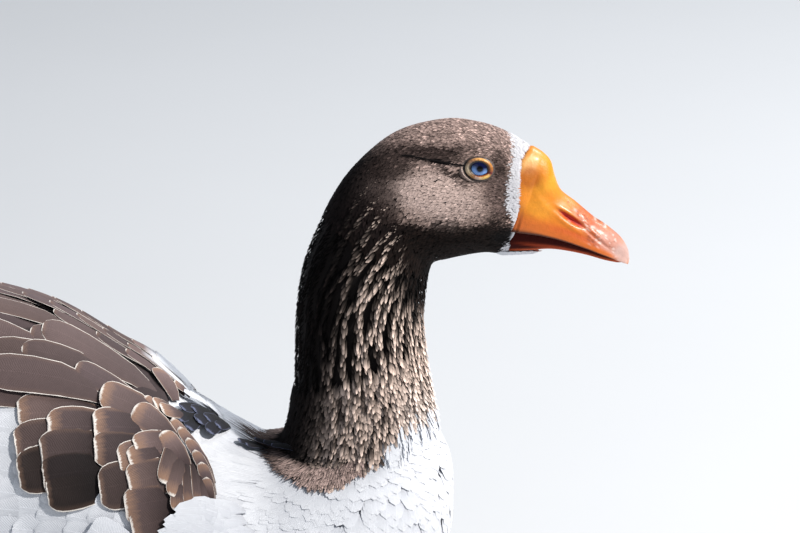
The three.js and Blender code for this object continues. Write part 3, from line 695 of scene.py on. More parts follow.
def maths(tree, operation, a, b=None, c=None):
    """A Math node fed by sockets or plain numbers. Gives its output socket."""
    node = tree.nodes.new("ShaderNodeMath")
    node.operation = operation
    for socket, value in zip(node.inputs, (a, b, c)):
        if isinstance(value, bpy.types.NodeSocket):
            tree.links.new(value, socket)
        elif value is not None:
            socket.default_value = value
    return node.outputs[0]


def noise(tree, vector, detail, roughness=0.5):
    node = tree.nodes.new("ShaderNodeTexNoise")
    node.inputs["Scale"].default_value = 1.0
    node.inputs["Detail"].default_value = detail
    node.inputs["Roughness"].default_value = roughness
    tree.links.new(vector, node.inputs["Vector"])
    return node


# %% The two groups


def clamped(tree, value):
    clamp = tree.nodes.new("ShaderNodeClamp")
    tree.links.new(value, clamp.inputs[0])
    return clamp.outputs[0]


def vane_noise(tree, back, across, tone, along_scale, across_scale):
    """Noise drawn on the vane, different on each."""
    place = tree.nodes.new("ShaderNodeCombineXYZ")
    tree.links.new(maths(tree, "MULTIPLY", back, along_scale), place.inputs[0])
    tree.links.new(maths(tree, "MULTIPLY", across, across_scale), place.inputs[1])
    tree.links.new(maths(tree, "MULTIPLY", tone, 60), place.inputs[2])
    return noise(tree, place.outputs[0], 2).outputs[0]


SHAFT_WIDTH = 0.035  # as a share of half the vane


def barbs_group():
    number = "NodeSocketFloat"
    tree, start, end = group("Vane barbs", [
        ("Vane", "NodeSocketVector", None), ("Barbs per cm", number, 9), ("Slant", number, 0.5),
        ("Tip fringe", number, 0.14), ("Side fringe", number, 0.05),
    ], [("Height", number), ("Fringe mask", number), ("Glow mask", number)])

    def calc(*given):
        return maths(tree, *given)

    split = tree.nodes.new("ShaderNodeSeparateXYZ")
    tree.links.new(start.outputs["Vane"], split.inputs[0])
    back, across, tone = split.outputs
    aside = calc("ABSOLUTE", across)
    drift = vane_noise(tree, back, across, tone, 1.4, 2)
    streak = vane_noise(tree, back, across, tone, 2, 11)
    # barbs: a wave along slanting lines, with the shaft standing above it
    slanted = calc("ADD", back, calc("MULTIPLY", aside, start.outputs["Slant"]))
    slanted = calc("ADD", slanted, calc("MULTIPLY", drift, 0.25))
    turns = calc("MULTIPLY", start.outputs["Barbs per cm"], 2 * math.pi)
    wave = calc("SINE", calc("MULTIPLY", slanted, turns))
    shaft = calc("LESS_THAN", aside, SHAFT_WIDTH)
    height = calc("ADD", calc("MULTIPLY", wave, 0.5), calc("MULTIPLY", shaft, 1.2))
    tree.links.new(calc("ADD", height, drift), end.inputs["Height"])
    # fringe: a ragged pale edge at the tip and along the sides
    tip, side = start.outputs["Tip fringe"], start.outputs["Side fringe"]
    ragged_tip = calc("MULTIPLY", tip, calc("MULTIPLY_ADD", streak, 1.6, 0.2))
    at_tip = clamped(tree, calc("DIVIDE", calc("SUBTRACT", ragged_tip, back), calc("MULTIPLY", tip, 0.6)))
    ragged_side = calc("MULTIPLY", side, calc("MULTIPLY_ADD", drift, 1.2, 0.4))
    over_side = calc("SUBTRACT", calc("ADD", aside, ragged_side), 1)
    at_side = clamped(tree, calc("DIVIDE", over_side, calc("MULTIPLY", side, 0.4)))
    tree.links.new(calc("MAXIMUM", at_tip, at_side), end.inputs["Fringe mask"])
    # glow: the warmer zone inside the fringe
    reach = calc("DIVIDE", back, calc("MULTIPLY", tip, 3.6))
    glow_tip = calc("SUBTRACT", calc("MULTIPLY_ADD", streak, 1, 0.75), reach)
    glow_side = calc("DIVIDE", calc("SUBTRACT", aside, 0.72), 0.5)
    tree.links.new(clamped(tree, calc("MAXIMUM", glow_tip, glow_side)), end.inputs["Glow mask"])
    return tree


def mottle_group():
    number = "NodeSocketFloat"
    tree, start, end = group("Mottle", [("Scale", number, 200), ("Amount", number, 0.2)],
                             [("Factor", number), ("Height", number)])
    place = tree.nodes.new("ShaderNodeTexCoord")
    texture = noise(tree, place.outputs["Object"], 4, 0.6)
    tree.links.new(start.outputs["Scale"], texture.inputs["Scale"])
    swing = maths(tree, "MULTIPLY", maths(tree, "SUBTRACT", texture.outputs[0], 0.5), start.outputs["Amount"])
    tree.links.new(maths(tree, "ADD", 1, maths(tree, "MULTIPLY", swing, 2)), end.inputs["Factor"])
    tree.links.new(texture.outputs[0], end.inputs["Height"])
    return tree


BARBS, MOTTLE = barbs_group(), mottle_group()
print("shader groups:", BARBS.name, "and", MOTTLE.name)

# %% [markdown]
# ## Plumage finish
# Feather is dry and soft: rough, with hardly any gloss and a little sheen at the edges. Its colour is the one
# stored on each vane, mottled a little. The barbs only raise the surface by a hair, which a bump does better
# than more faces. The brown shoulder feathers also have a pale frayed fringe.

# %% Plumage materials


def material(name, roughness, specular, sheen=0, coat_weight=0):
    made = bpy.data.materials.new(name)
    made.use_nodes = True
    shader = made.node_tree.nodes["Principled BSDF"]
    shader.inputs["Roughness"].default_value = roughness
    shader.inputs["Specular IOR Level"].default_value = specular
    shader.inputs["Sheen Weight"].default_value = sheen
    shader.inputs["Coat Weight"].default_value = coat_weight
    return made, made.node_tree, shader


def use(tree, grouped, **values):
    node = tree.nodes.new("ShaderNodeGroup")
    node.node_tree = grouped
    for label, value in values.items():
        node.inputs[label].default_value = value
    return node


def scaled(tree, colour, factor):
    """A colour times a number, as sockets."""
    node = tree.nodes.new("ShaderNodeVectorMath")
    node.operation = "SCALE"
    tree.links.new(colour, node.inputs[0])
    tree.links.new(factor, node.inputs["Scale"])
    return node.outputs[0]


def stored(tree, name):
    node = tree.nodes.new("ShaderNodeAttribute")
    node.attribute_name = name
    return node


def bump(tree, shader, height, distance, strength=0.6):
    node = tree.nodes.new("ShaderNodeBump")
    node.inputs["Strength"].default_value = strength
    node.inputs["Distance"].default_value = distance
    tree.links.new(height, node.inputs["Height"])
    tree.links.new(node.outputs[0], shader.inputs["Normal"])


def blended(tree, colour, tint, share):
    """A colour turned into a plain tint by a share, as sockets."""
    node = tree.nodes.new("ShaderNodeMix")
    node.data_type = "RGBA"
    tree.links.new(share, node.inputs["Factor"])
    tree.links.new(colour, node.inputs["A"])
    node.inputs["B"].default_value = (*tint, 1)
    return node.outputs["Result"]


BARB_RELIEF = 0.00012  # metres


def plumage(name, mottle, barbs=0, slant=0.5, fringe=None, glow=TAN, sheen=0.1, gloss=0.18):
    made, tree, shader = material(name, 0.82, gloss, sheen)
    plume = stored(tree, "plume")
    cloud = use(tree, MOTTLE, Scale=mottle[0], Amount=mottle[1])
    colour = scaled(tree, plume.outputs["Color"], cloud.outputs["Factor"])
    relief = cloud
    if barbs:
        relief = vane = use(tree, BARBS, **{"Barbs per cm": barbs, "Slant": slant})
        tree.links.new(stored(tree, "vane").outputs["Vector"], vane.inputs["Vane"])
        shade_by = maths(tree, "MULTIPLY_ADD", vane.outputs["Height"], 0.1, 0.94)
        colour = scaled(tree, colour, shade_by)
        if fringe is not None:
            fray = maths(tree, "MULTIPLY_ADD", plume.outputs["Alpha"], 0.12, 0.05)
            tree.links.new(fray, vane.inputs["Tip fringe"])
            warmth = maths(tree, "MULTIPLY_ADD", plume.outputs["Alpha"], 0.75, 0.25)
            colour = blended(tree, colour, glow, maths(tree, "MULTIPLY", vane.outputs["Glow mask"], warmth))
            colour = blended(tree, colour, fringe, vane.outputs["Fringe mask"])
    bump(tree, shader, relief.outputs["Height"], BARB_RELIEF)
    tree.links.new(colour, shader.inputs["Base Color"])
    return made


small_plumes = plumage("small plumes", (900, 0.10), sheen=0.03, gloss=0.1)
body_plumes = plumage("body plumes", (260, 0.04), barbs=11, slant=0.5, sheen=0.15)
saddle_plumes = plumage("fringed shoulder plumes", (300, 0.14), barbs=9, slant=0.6, fringe=BUFF)
# The blue fringe and glow of the mantle feathers are painted shade: the sky-blue of the neck's shadow.
shaded_mantle_plumes = plumage("mantle plumes", (300, 0.14), barbs=9, slant=0.6, fringe=shade(110, 116, 142),
                        glow=shade(44, 45, 58))
quill_plumes = plumage("flight plumes", (200, 0.04), barbs=8, slant=1)

# %% [markdown]
# ## The skin
# Under the coat lies one skin without a seam. Two lofts, trunk and neck, are drawn a coat's depth inside the
# bird's outline and then wrapped together by a voxel remesh, which melts them into one surface. A union would
# keep a hard crease at the collar; the remesh and a few rounds of smoothing leave a soft fillet.

# %% Skin
COAT_DEPTH = {"trunk": 4.5, "neck": 2.8, "head": 1.5}
SKIN = {"around": 72, "body_rings": 90, "neck_rings": 110, "voxel": 2.4, "smoothing": 6}  # mm and rounds


def loft(points):
    """Closed triangles over rings of points, with a fan over each end."""
    rows, around = points.shape[:2]
    index = np.arange(rows * around).reshape(rows, around)
    a, b = index[:-1], index[1:]
    quads = [np.stack([a, np.roll(a, -1, 1), np.roll(b, -1, 1)], -1), np.stack([a, np.roll(b, -1, 1), b], -1)]
    flat = points.reshape(-1, 3)
    flat = np.vstack([flat, points[0].mean(0), points[-1].mean(0)])
    low, high = len(flat) - 2, len(flat) - 1
    start = np.stack([np.full(around, low), np.roll(index[0], -1), index[0]], -1)
    finish = np.stack([np.full(around, high), index[-1], np.roll(index[-1], -1)], -1)
    faces = np.concatenate([q.reshape(-1, 3) for q in quads] + [start, finish])
    return flat, faces


def loft_of(ground, rows, depth):
    u, v = np.meshgrid(rows, np.arange(0, 360, 360 / SKIN["around"]) - 180, indexing="ij")
    return loft(ground.at(u, v, -depth(u, v)))


def remeshed(mesh):
    """The outer surface of a mesh, rebuilt as even squares and smoothed."""
    thing = bpy.data.objects.new("raw skin", mesh)
    bpy.context.scene.collection.objects.link(thing)
    wrap = thing.modifiers.new("wrap", "REMESH")
    wrap.mode, wrap.voxel_size = "VOXEL", SKIN["voxel"] * MM
    soften = thing.modifiers.new("soften", "SMOOTH")
    soften.iterations, soften.factor = SKIN["smoothing"], 0.5
    done = bpy.data.meshes.new_from_object(thing.evaluated_get(bpy.context.evaluated_depsgraph_get()))
    bpy.data.objects.remove(thing)
    return done


def mesh_points(mesh):
    flat = np.empty(3 * len(mesh.vertices), np.float32)
    mesh.vertices.foreach_get("co", flat)
    return flat.reshape(-1, 3).astype(float) / MM


def skin_colour(p):
    """What shows between the feathers: the darker ground of the same markings."""
    brown = mix(0.8 * head_colour(p), 0.4 * UMBER, smooth(234, 214, p[..., 2]))
    colour = mix(DOWN, brown, brown_neck(p))
    return mix(colour, WHITE, white_band(p) * brown_neck(p))


def neck_depth(u, v):
    nape = smooth(60, 25, np.abs(v)) * smooth(8.2, 7, u) * smooth(0.5, 2, u)
    return COAT_DEPTH["neck"] + (COAT_DEPTH["head"] - COAT_DEPTH["neck"]) * smooth(7, 8.6, u) - 1.5 * nape


def make_skin():
    body_points, body_faces = loft_of(trunk, np.linspace(0.15, LAST_ROW, SKIN["body_rings"]),
                                      lambda u, v: COAT_DEPTH["trunk"] + 0 * u)
    neck_points, neck_faces = loft_of(neck, np.linspace(0, BILL_ROW, SKIN["neck_rings"]), neck_depth)
    both = raw_mesh("raw", np.vstack([body_points, neck_points]),
                    np.vstack([body_faces, neck_faces[:, ::-1] + len(body_points)]))
    mesh = remeshed(both)
    mesh.polygons.foreach_set("use_smooth", np.full(len(mesh.polygons), True))
    tinted(mesh, skin_colour(mesh_points(mesh)))
    print("skin:", len(mesh.polygons), "faces")
    return piece("skin", mesh, plumage("skin", (500, 0.12)), ["torso", "neck", "head"])


skin = make_skin()

# %% [markdown]
# ## The head's coat
# A goose's head looks like velvet: feathers two or three millimetres long that lie flat and point back from
# the bill. Bump alone would leave a smooth outline, so each is a tiny solid, smallest in front of the eye.
# Its colour comes from the markings, with flecks where some feathers are darker than their neighbours.

# %% Head coat


def head_paint(p, dice):
    """Each fleck takes its colour from a spot close by, which frays the borders, and is dark at its root."""
    colour = head_colour(p + dice.normal(0, 0.9, p.shape) * (1, 0, 1))
    h = level(p)
    on_crown, on_lore, on_jaw = smooth(252, 266, h), smooth(254, 262, p[:, 0]), smooth(236, 228, h)
    contrast = 0.15 + 0.25 * on_crown + 0.22 * on_lore * smooth(268, 256, h)
    contrast = contrast + 0.2 * on_jaw
    colour = colour * np.exp(dice.normal(0, 1, len(p)) * contrast - contrast ** 2 / 2)[:, None]
    band = white_band(p, dice.normal(0, 0.8, len(p)))
    on_cheek = smooth(230, 238, h) * smooth(258, 250, h) * smooth(258, 250, p[:, 0])
    root = mix(0.45 * colour, 0.75 * colour, on_cheek)
    white = BAND * dice.uniform(0.9, 1.05, (len(p), 1))
    return mix(root, BAND * 0.85, band), mix(1.25 * colour, white, band)


def near_eye(p, long, high, fold):
    """True inside an ellipse round the eye, in side view, wider by a share at the fold behind and below."""
    dx, dz = (p[..., 0] - EYE["x"]) / long, (p[..., 2] - EYE["z"]) / high
    dz = dz * np.where(dz > 0, 1.25, 1)
    rear_low = np.exp(-(((np.degrees(np.arctan2(dz, dx)) % 360) - 215) / 45) ** 2)
    return np.hypot(dx, dz) < 1 + fold * rear_low


# Where the horn of the bill begins: level and x.
bill_edge = line([(205, 268), (219, 268), (225, 268.5), (232, 271.8), (240, 273.3), (256, 273.8),
                  (264, 274.7), (270, 277.8), (276, 281)])
# Rows from the nape to the bill, and a scale for the feathers there. A feather of scale 1 is 2.9 mm long.
FLECK_SCALE = ([7.2, 8.6, 10.5, 12.2, 13], [2, 1.5, 1.2, 1, 0.9])
FLECK = Kind(7.3, BILL_ROW - 0.02, 0.8, 0.75, 2.9, 1)
# A dark line runs back from the eye: x and level of places along it.
EYE_LINE = np.array([(244.5, 260.6), (238, 261.2), (231, 262.8), (225, 263.6), (219, 265.2), (212, 266.2)])
EYE_LINE_OVERLAP = (-3, 0.3)
EYE_LINE_WIDTH = 1.1


def on_head(x, height, side):
    """Rows and turns of the neck's ground for places on the head drawn in side view."""
    u, v = np.meshgrid(np.linspace(7, BILL_ROW, 240), side * np.linspace(8, 170, 240), indexing="ij")
    q = flat_view(neck.at(u, v))
    best = [np.argmin(np.hypot(q[..., 0] - a, q[..., 2] - b)) for a, b in zip(x, height)]
    return u.ravel()[best], v.ravel()[best]


def black_paint(p, dice):
    black = np.broadcast_to(BLACK, p.shape)
    return black, black


def make_head_coat():
    dice = np.random.default_rng(3)
    step = lambda share: lambda row: share * float(np.interp(row, *FLECK_SCALE))
    u, v = rings(neck, FLECK.first, FLECK.last, step(FLECK.pitch), step(FLECK.gap), dice, 0.4)
    p = neck.at(u, v)
    clear = ~near_eye(p, 7.7, 5.9, 0.36) & (p[:, 0] < bill_edge(level(p)))
    u, v = u[clear], v[clear]
    scale = np.interp(u, *FLECK_SCALE) * dice.uniform(0.85, 1.2, len(u))
    lean = 10 * np.sin(np.radians(np.abs(v))) + dice.normal(0, 6, len(u))
    batch = lay(neck, SPECK, u, v, *sized(FLECK, scale), head_paint, dice, lean=lean, sunk=0.5,
                rise=0.12 + 0.16 * scale, ramp=0.25, arch=0.12, lift=dice.uniform(0, 0.1, len(u)))
    root, tip = EYE_LINE[:-1], EYE_LINE[1:] + EYE_LINE_OVERLAP
    lines = [lay(neck, TUFT, *on_head(*root.T, side), np.hypot(*(tip - root).T), EYE_LINE_WIDTH, black_paint,
                 dice, to=on_head(*tip.T, side), sunk=0.4, rise=0.9, ramp=0.1, arch=0.2)
             for side in SIDES.values()]
    coat("coat_head", [batch, *lines], small_plumes)


make_head_coat()

# %% [markdown]
# ## The neck's coat
# Geese have furrowed necks: the feathers stand in upright ridges with dark grooves between. Combing a furred
# surface would not make these ridges, so the tufts are set in columns, three abreast, the middle one raised,
# each with a dark root and a pale tip.

# %% Neck coat
COLUMNS = 33
# The tufts of a ridge side by side: mm sideways, mm high, width in mm, brightness. The last are the groove's.
# The brightness is partly painted light and shade: most on the raised middle tuft, least in the groove.
ABREAST = [(-1.3, 0.8, 1.5, 0.8), (0, 1.8, 1.7, 1.1), (1.3, 0.8, 1.5, 0.8), (3.2, -0.4, 1.8, 0.16)]
SLANT = 24  # degrees that a ridge has moved towards the throat by the time it reaches the cheek
NECK_TUFT = {"length": 8.2, "step": 3.1}


def neck_paint(p, dice, ridge_light_and_shade):
    """Dark tufts with pale tips, fewer pale ones towards the nape, and white below the collar's border. Fewer
    and dimmer pale tips towards the nape are partly painted shade.
    """
    dark = dice.uniform(0, 1, len(p)) < 0.72 - 0.66 * neck_front(p)
    pale = dice.uniform(0.75, 1.3, len(p)) * np.where(dark, 0.3, 1) * (1 + 0.2 * neck_front(p))
    # The tip's brightness carries painted light on the ridges and painted shade in the grooves.
    tip = ridge_light_and_shade * neck_colour(p) * pale[:, None]
    root = mix(tip * 0.12, UMBER * 0.25, np.full(len(p), 0.5))
    brown = brown_neck(p, dice.normal(0, 1.2, len(p)))
    return mix(DOWN * 0.9, root, brown), mix(WHITE, tip, brown)


def ridge_height(u, v):
    """How high the ridges stand, as a share: less on the throat, the nape and towards both ends."""
    turn = np.abs(v)
    bare_throat = smooth(108, 136, turn) * smooth(4.2, 5.4, u)
    fine_front = smooth(3.4, 1.6, u) * smooth(96, 140, turn)
    ends = smooth(8.6, 7.4, u) * smooth(0.5, 2, u)
    return (1 - 0.75 * bare_throat) * (1 - 0.6 * fine_front) * ends * (1 - 0.85 * smooth(60, 25, turn))


def make_neck_coat():
    dice = np.random.default_rng(5)
    fine = np.linspace(0.9, 8.5, 300)
    batches = []
    for column in range(COLUMNS):
        turn = -180 + 360 * (column + 0.5) / COLUMNS
        sway = 2.2 * np.sin(2.3 * fine + 2.4 * column) + 1.3 * np.sin(5.1 * fine + 1.3 * column)
        sway = sway + SLANT * math.sin(math.radians(turn)) * smooth(4.6, 7.8, fine)
        path = neck.base(fine, turn + sway)
        run = np.concatenate([[0], np.cumsum(np.linalg.norm(np.diff(path, axis=0), axis=1))])
        places = np.arange(dice.uniform(0, 3), run[-1], NECK_TUFT["step"])
        for number, (sideways, high, width, ridge_light_and_shade) in enumerate(ABREAST):
            along = places + dice.uniform(-1, 1, len(places)) + (1.5 if number == 1 else 0)
            u = np.interp(along, run, fine)
            v = turn + np.interp(u, fine, sway)
            radius = np.linalg.norm(neck.slopes(u, v)[1], axis=-1)
            v = v + (sideways + dice.normal(0, 0.22, len(u))) / radius
            v = (v + 180) % 360 - 180
            ridge = ridge_height(u, v)
            size = dice.uniform(0.75, 1.2, len(u)) * (0.78 + 0.22 * ridge)
            size = size * np.interp(u, [5, 7.6], [1, 0.72])
            lean = dice.normal(0, 5, len(u)) - 4 * sideways * np.where(v < 0, -1, 1)
            lean = lean - 16 * np.sin(np.radians(np.abs(v))) * smooth(4.6, 6.4, u)
            batches.append(lay(neck, TUFT, u, v, NECK_TUFT["length"] * size, width * size,
                               lambda p, d: neck_paint(p, d, ridge_light_and_shade), dice, lean=lean, sunk=3.2,
                               rise=0.1 + high * ridge, ramp=1.1, arch=0.3,
                               lift=dice.uniform(0, 0.5, len(u))))
    coat("coat_neck", batches, small_plumes)


make_neck_coat()

# %% [markdown]
# ## The breast and the collar
# From the foot of the neck the feathers run outwards and down over the breast. The trunk's rings would lead
# them the wrong way there, so this ground is made by casting rays from a point inside the breast to the skin,
# which also follows the soft fillet at the collar.

# %% Breast ground
BREAST_HEART = (180, 0, 60)
TENS = 10.0  # the rows of this ground are tens of degrees above the horizon


def outward(row, turn):
    """The direction of a ray from the heart."""
    (rise, flat), (aside, ahead) = sine_cosine(row * TENS), sine_cosine(turn)
    return np.stack([-flat * ahead, flat * aside, rise], -1)


def cast_ground(target, heart, rows, turns):
    """A table of distances from the heart to the target, over rows of height and turns round it."""
    u, v = np.meshgrid(rows, turns, indexing="ij")
    way = outward(u, v)
    start = np.array(heart) * MM
    far = np.empty(u.shape)
    for i, j in np.ndindex(*u.shape):
        hit, place, _, _ = target.ray_cast(start, way[i, j])
        far[i, j] = np.linalg.norm(np.array(place) - start) / MM if hit else np.nan
    padded = np.pad(far, 1, mode="edge")
    padded[:, 0], padded[:, -1] = padded[:, -3], padded[:, 2]
    high, wide = far.shape
    return sum(padded[1 + a:1 + a + high, 1 + b:1 + b + wide] * (2 - abs(a)) * (2 - abs(b))
               for a in (-1, 0, 1) for b in (-1, 0, 1)) / 16


BREAST_ROWS = np.linspace(-8.6, 7.2, 80)
BREAST_TURNS = np.linspace(-180, 180, 145)
breast_far = cast_ground(skin, BREAST_HEART, BREAST_ROWS, BREAST_TURNS)


def breast_at(row, turn):
    row, turn = np.broadcast_arrays(np.asarray(row, float), np.asarray(turn, float))
    i = np.clip((row - BREAST_ROWS[0]) / (BREAST_ROWS[1] - BREAST_ROWS[0]), 0, len(BREAST_ROWS) - 1.001)
    j = ((turn + 180) % 360) / 360 * (len(BREAST_TURNS) - 1)
    i0, j0 = i.astype(int), j.astype(int)
    s, t = i - i0, j - j0
    j1 = np.minimum(j0 + 1, len(BREAST_TURNS) - 1)
    far = (breast_far[i0, j0] * (1 - s) * (1 - t) + breast_far[i0 + 1, j0] * s * (1 - t)
           + breast_far[i0, j1] * (1 - s) * t + breast_far[i0 + 1, j1] * s * t)
    return np.array(BREAST_HEART) + far[..., None] * outward(row, turn)


breast = Ground(breast_at, -1, (-9, 7.5))
print("breast ground reaches", round(float(np.nanmax(breast_far))), "mm from its heart")

# %% Breast and collar coat
# Dark feathers on the mantle, behind the foot of the neck: x and level of the tip, slope up towards the tip
# in degrees, length and width. Their colour is their own dark with painted shade over it.
MANTLE_FEATHERS = [
    (94, 114, -50, 12, 8), (88.5, 119, -30, 14, 8), (89.5, 125, 0, 16, 9), (95.5, 124, -14, 17, 10),
    (98, 117.5, -22, 16, 10), (102.5, 118.5, -26, 15, 10), (104, 111, -48, 13, 8), (108, 114, -40, 11, 7),
    (119, 106, 2, 15, 5), (123, 103.5, 0, 14, 4.5), (128, 106, 4, 16, 6), (134, 104, 2, 14, 6),
    (139, 102, -2, 14, 5),
]
# White ones on the ridge above them.
RIDGE_FEATHERS = [(93, 138, 24, 16, 9), (97, 134, 30, 15, 8), (90, 134, 10, 15, 8), (102, 131, 34, 15, 8)]


def body_white(p, dice):
    tone = dice.uniform(0.96, 1, len(p))[:, None]
    return DOWN * 0.9 * tone, WHITE * tone


def collar_paint(p, dice):
    """White feathers, or brown ones above the collar's border."""
    brown = brown_neck(p, dice.normal(0, 1.2, len(p)))
    white_root, white_tip = body_white(p, dice)
    dark_tip = neck_colour(p) * dice.uniform(0.5, 1.2, len(p))[:, None]
    return mix(white_root, dark_tip * 0.3, brown), mix(white_tip, dark_tip, brown)


def bristle_paint(p, dice):
    # The bristles darken towards the nape, partly as painted shade.
    tip = mix(BRISTLE, NAPE_DARK_AND_SHADED, 0.8 * smooth(152, 138, p[:, 0])) * dice.uniform(0.45, 1.3, len(p))[:, None]
    return tip * 0.35, tip


def mantle_paint(p, dice):
    # Their own dark colour, darkened further as painted shade.
    tone = dice.uniform(0.7, 1.3, len(p))[:, None]
    warmth = np.full((len(p), 1), 0.4)
    return np.hstack([MANTLE_DARK_AND_SHADED * 0.2 * tone, warmth]), np.hstack([MANTLE_DARK_AND_SHADED * 0.45 * tone, warmth])


def drawn_vanes(rows, ground, paint, dice, sides, shape, **options):
    """Vanes from a table of rows as seen from the side: x and level of the tip, slope, length, width."""
    x, height, slope, length, width = np.array(rows, float).T
    back = np.radians(slope)
    root_x, root_height = x + length * np.cos(back), height - length * np.sin(back)
    root_turn, turn = turn_at(ground, root_x, root_height), turn_at(ground, x, height)
    return joined([lay(ground, shape, row_at(root_x), side * root_turn, length, width, paint, dice,
                       to=(row_at(x), side * turn), ramp=1.2, arch=0.6, fray=0.01, **options)
                   for side in sides])


BREAST_LEAF = Kind(-8.4, 6.9, 4.2, 4, 17, 8)
COLLAR_TUFT = Kind(1, 7.1, 2, 1.9, 7.5, 1.8)
COLLAR_BRISTLE = Kind(0.6, 7.1, 1.1, 1, (7, 11), 0.8)  # from 7 to 11 mm long


def breast_roots(kind, dice, jitter):
    """Roots on the breast's ground, and the places where they stand."""
    u, v = rings(breast, *kind[:4], dice, jitter)
    return u, v, breast.at(u, v)


def make_breast_coat(dice):
    u, v, p = breast_roots(BREAST_LEAF, dice, 0.4)
    front = (p[..., 0] > 58) & (brown_neck(p, -5) < 0.6)
    u, v, p = u[front], v[front], p[front]
    size = dice.uniform(0.9, 1.12, len(u)) * np.interp(p[:, 0], [60, 140, 236], [1.2, 1.05, 0.85])
    lean = -52 * np.sin(np.radians(np.abs(v))) * smooth(215, 120, p[:, 0]) + dice.normal(0, 4, len(u))
    white = lay(breast, LEAF, u, v, *sized(BREAST_LEAF, size), collar_paint, dice, lean=lean, sunk=0.4,
                rise=COAT_DEPTH["neck"], ramp=0.6, arch=0.2, lift=dice.uniform(0, 0.12, len(u)))
    ridge = drawn_vanes(RIDGE_FEATHERS, trunk, body_white, dice, (-1,), SCAPULAR, sunk=1, rise=1.8)
    coat("coat_breast", [white, ridge], body_plumes)


def make_mantle(dice):
    high = 0.8 + 0.22 * np.arange(len(MANTLE_FEATHERS))
    dark = drawn_vanes(MANTLE_FEATHERS, trunk, mantle_paint, dice, (-1,), ROUND_SCAPULAR, sunk=1.5, rise=high)
    coat("coat_mantle", [dark], shaded_mantle_plumes)


def make_collar(dice):
    """Clumped tufts down to the collar's border, and stiff bristles that stand out along it."""
    depth = COAT_DEPTH["neck"]
    u, v, p = breast_roots(COLLAR_TUFT, dice, 0.4)
    near = brown_neck(p, -3) > 0.5
    u, v = u[near], v[near]
    size = dice.uniform(0.8, 1.2, len(u))
    lean = dice.normal(0, 6, len(u))
    clumped = 0.5 + 0.5 * np.sin(np.radians(v * 26) + 0.8 * np.sin(1.3 * u))
    low_paint = lambda p, d: collar_paint(p + (0, 0, 6), d)
    tufts = lay(breast, TUFT, u, v, *sized(COLLAR_TUFT, size), low_paint, dice, lean=lean, sunk=0.4,
                rise=depth + 0.5 * clumped, ramp=0.9, arch=0.3, lift=dice.uniform(0, 0.5, len(u)))
    u, v, p = breast_roots(COLLAR_BRISTLE, dice, 0.5)
    border = (brown_neck(p, -4) > 0.5) & (brown_neck(p, -14) < 0.5) & (p[:, 0] < 188)
    u, v = u[border], v[border]
    length = dice.uniform(*COLLAR_BRISTLE.length, len(u))
    bristles = lay(breast, TUFT, u, v, length, COLLAR_BRISTLE.width, bristle_paint, dice, sunk=0.2,
                   lean=dice.normal(-8, 7, len(u)), rise=depth + 0.9, ramp=0.8, arch=0.2,
                   lift=dice.uniform(0, 0.5, len(u)))
    coat("coat_collar", [tufts, bristles], small_plumes)


dice = np.random.default_rng(8)
for make in (make_breast_coat, make_mantle, make_collar):
    make(dice)

# %% [markdown]
# ## Flanks, belly and rump
# The rest of the trunk is dressed in white contour feathers, larger than the breast's. They are left out
# where the folded wings cover the body.

# %% Trunk coat
# The lower edges of saddle and wing: x and turn from the spine.
saddle_edge = line([(-118, 40), (-60, 43), (-6, 46), (4, 60), (14, 70), (42, 73), (66, 79), (80, 75),
                    (92, 64), (104, 54), (112, 50)])
wing_edge = line([(-250, 36), (-236, 58), (-214, 76), (-180, 89), (-112, 103), (-20, 104), (40, 98),
                  (82, 84)])
TRUNK_LEAF = Kind(float(row_at(92)), LAST_ROW - 0.2, 6.2, 6, 21, 10)


def make_trunk_coat():
    dice = np.random.default_rng(13)
    u, v = rings(trunk, *TRUNK_LEAF[:4], dice, 0.35)
    x, _, height = trunk.base(u, v).T
    covered = (np.abs(v) < wing_edge(x) - 9) & (x > -198)
    belly = (height < 1) & (dice.uniform(0, 1, len(u)) < 0.5)
    keep = ~covered & ~belly
    u, v, x = u[keep], v[keep], x[keep]
    size = dice.uniform(0.88, 1.15, len(u)) * np.interp(x, [-300, -220, 0], [0.8, 1, 1])
    lean = dice.normal(0, 5, len(u))
    batch = lay(trunk, LEAF, u, v, *sized(TRUNK_LEAF, size), body_white, dice, lean=lean, sunk=4.2,
                rise=0.6, ramp=1, arch=0.4, lift=dice.uniform(0, 0.5, len(u)))
    coat("coat_trunk", [batch], body_plumes)


make_trunk_coat()

# %% [markdown]
# ## Saddle and wings
# The shoulder feathers lie over the back as a brown saddle, and over the front of the white wings. Each tier
# is a row in a table, so the tiers can be set closer where small feathers hang steeply at the shoulder, and
# farther apart where long ones run back beside the spine. The lower feather of two lies over the upper one.

# %% Grounds of saddle and wing
WING = {"front": 82, "rear": -236, "thick": 5.6, "rim": 2.2, "taper": 26, "under_saddle": 3.6}
SADDLE = {"rear": -112, "thick": 5.2, "taper": 26, "overhang": 6.6, "crest": 4.2}
saddle_front = line([(0, 88), (12, 88), (30, 96), (44, 105), (58, 104), (90, 104)])  # turn and x
EDGE_HEIGHT = 0.8  # of the saddle's front edge


def saddle_height(u, v):
    x, angle = body_row(u)[..., 0], np.abs(v)
    front = smooth(0, SADDLE["taper"], saddle_front(angle) - x)
    edge = saddle_edge(x)
    beside = smooth(edge - 6, edge, angle)
    thick = SADDLE["thick"] + (SADDLE["overhang"] - SADDLE["thick"]) * beside
    crest = SADDLE["crest"] * smooth(64, 0, x) * smooth(-124, -70, x) * smooth(36, 10, angle)
    return EDGE_HEIGHT + (thick - EDGE_HEIGHT) * front + crest


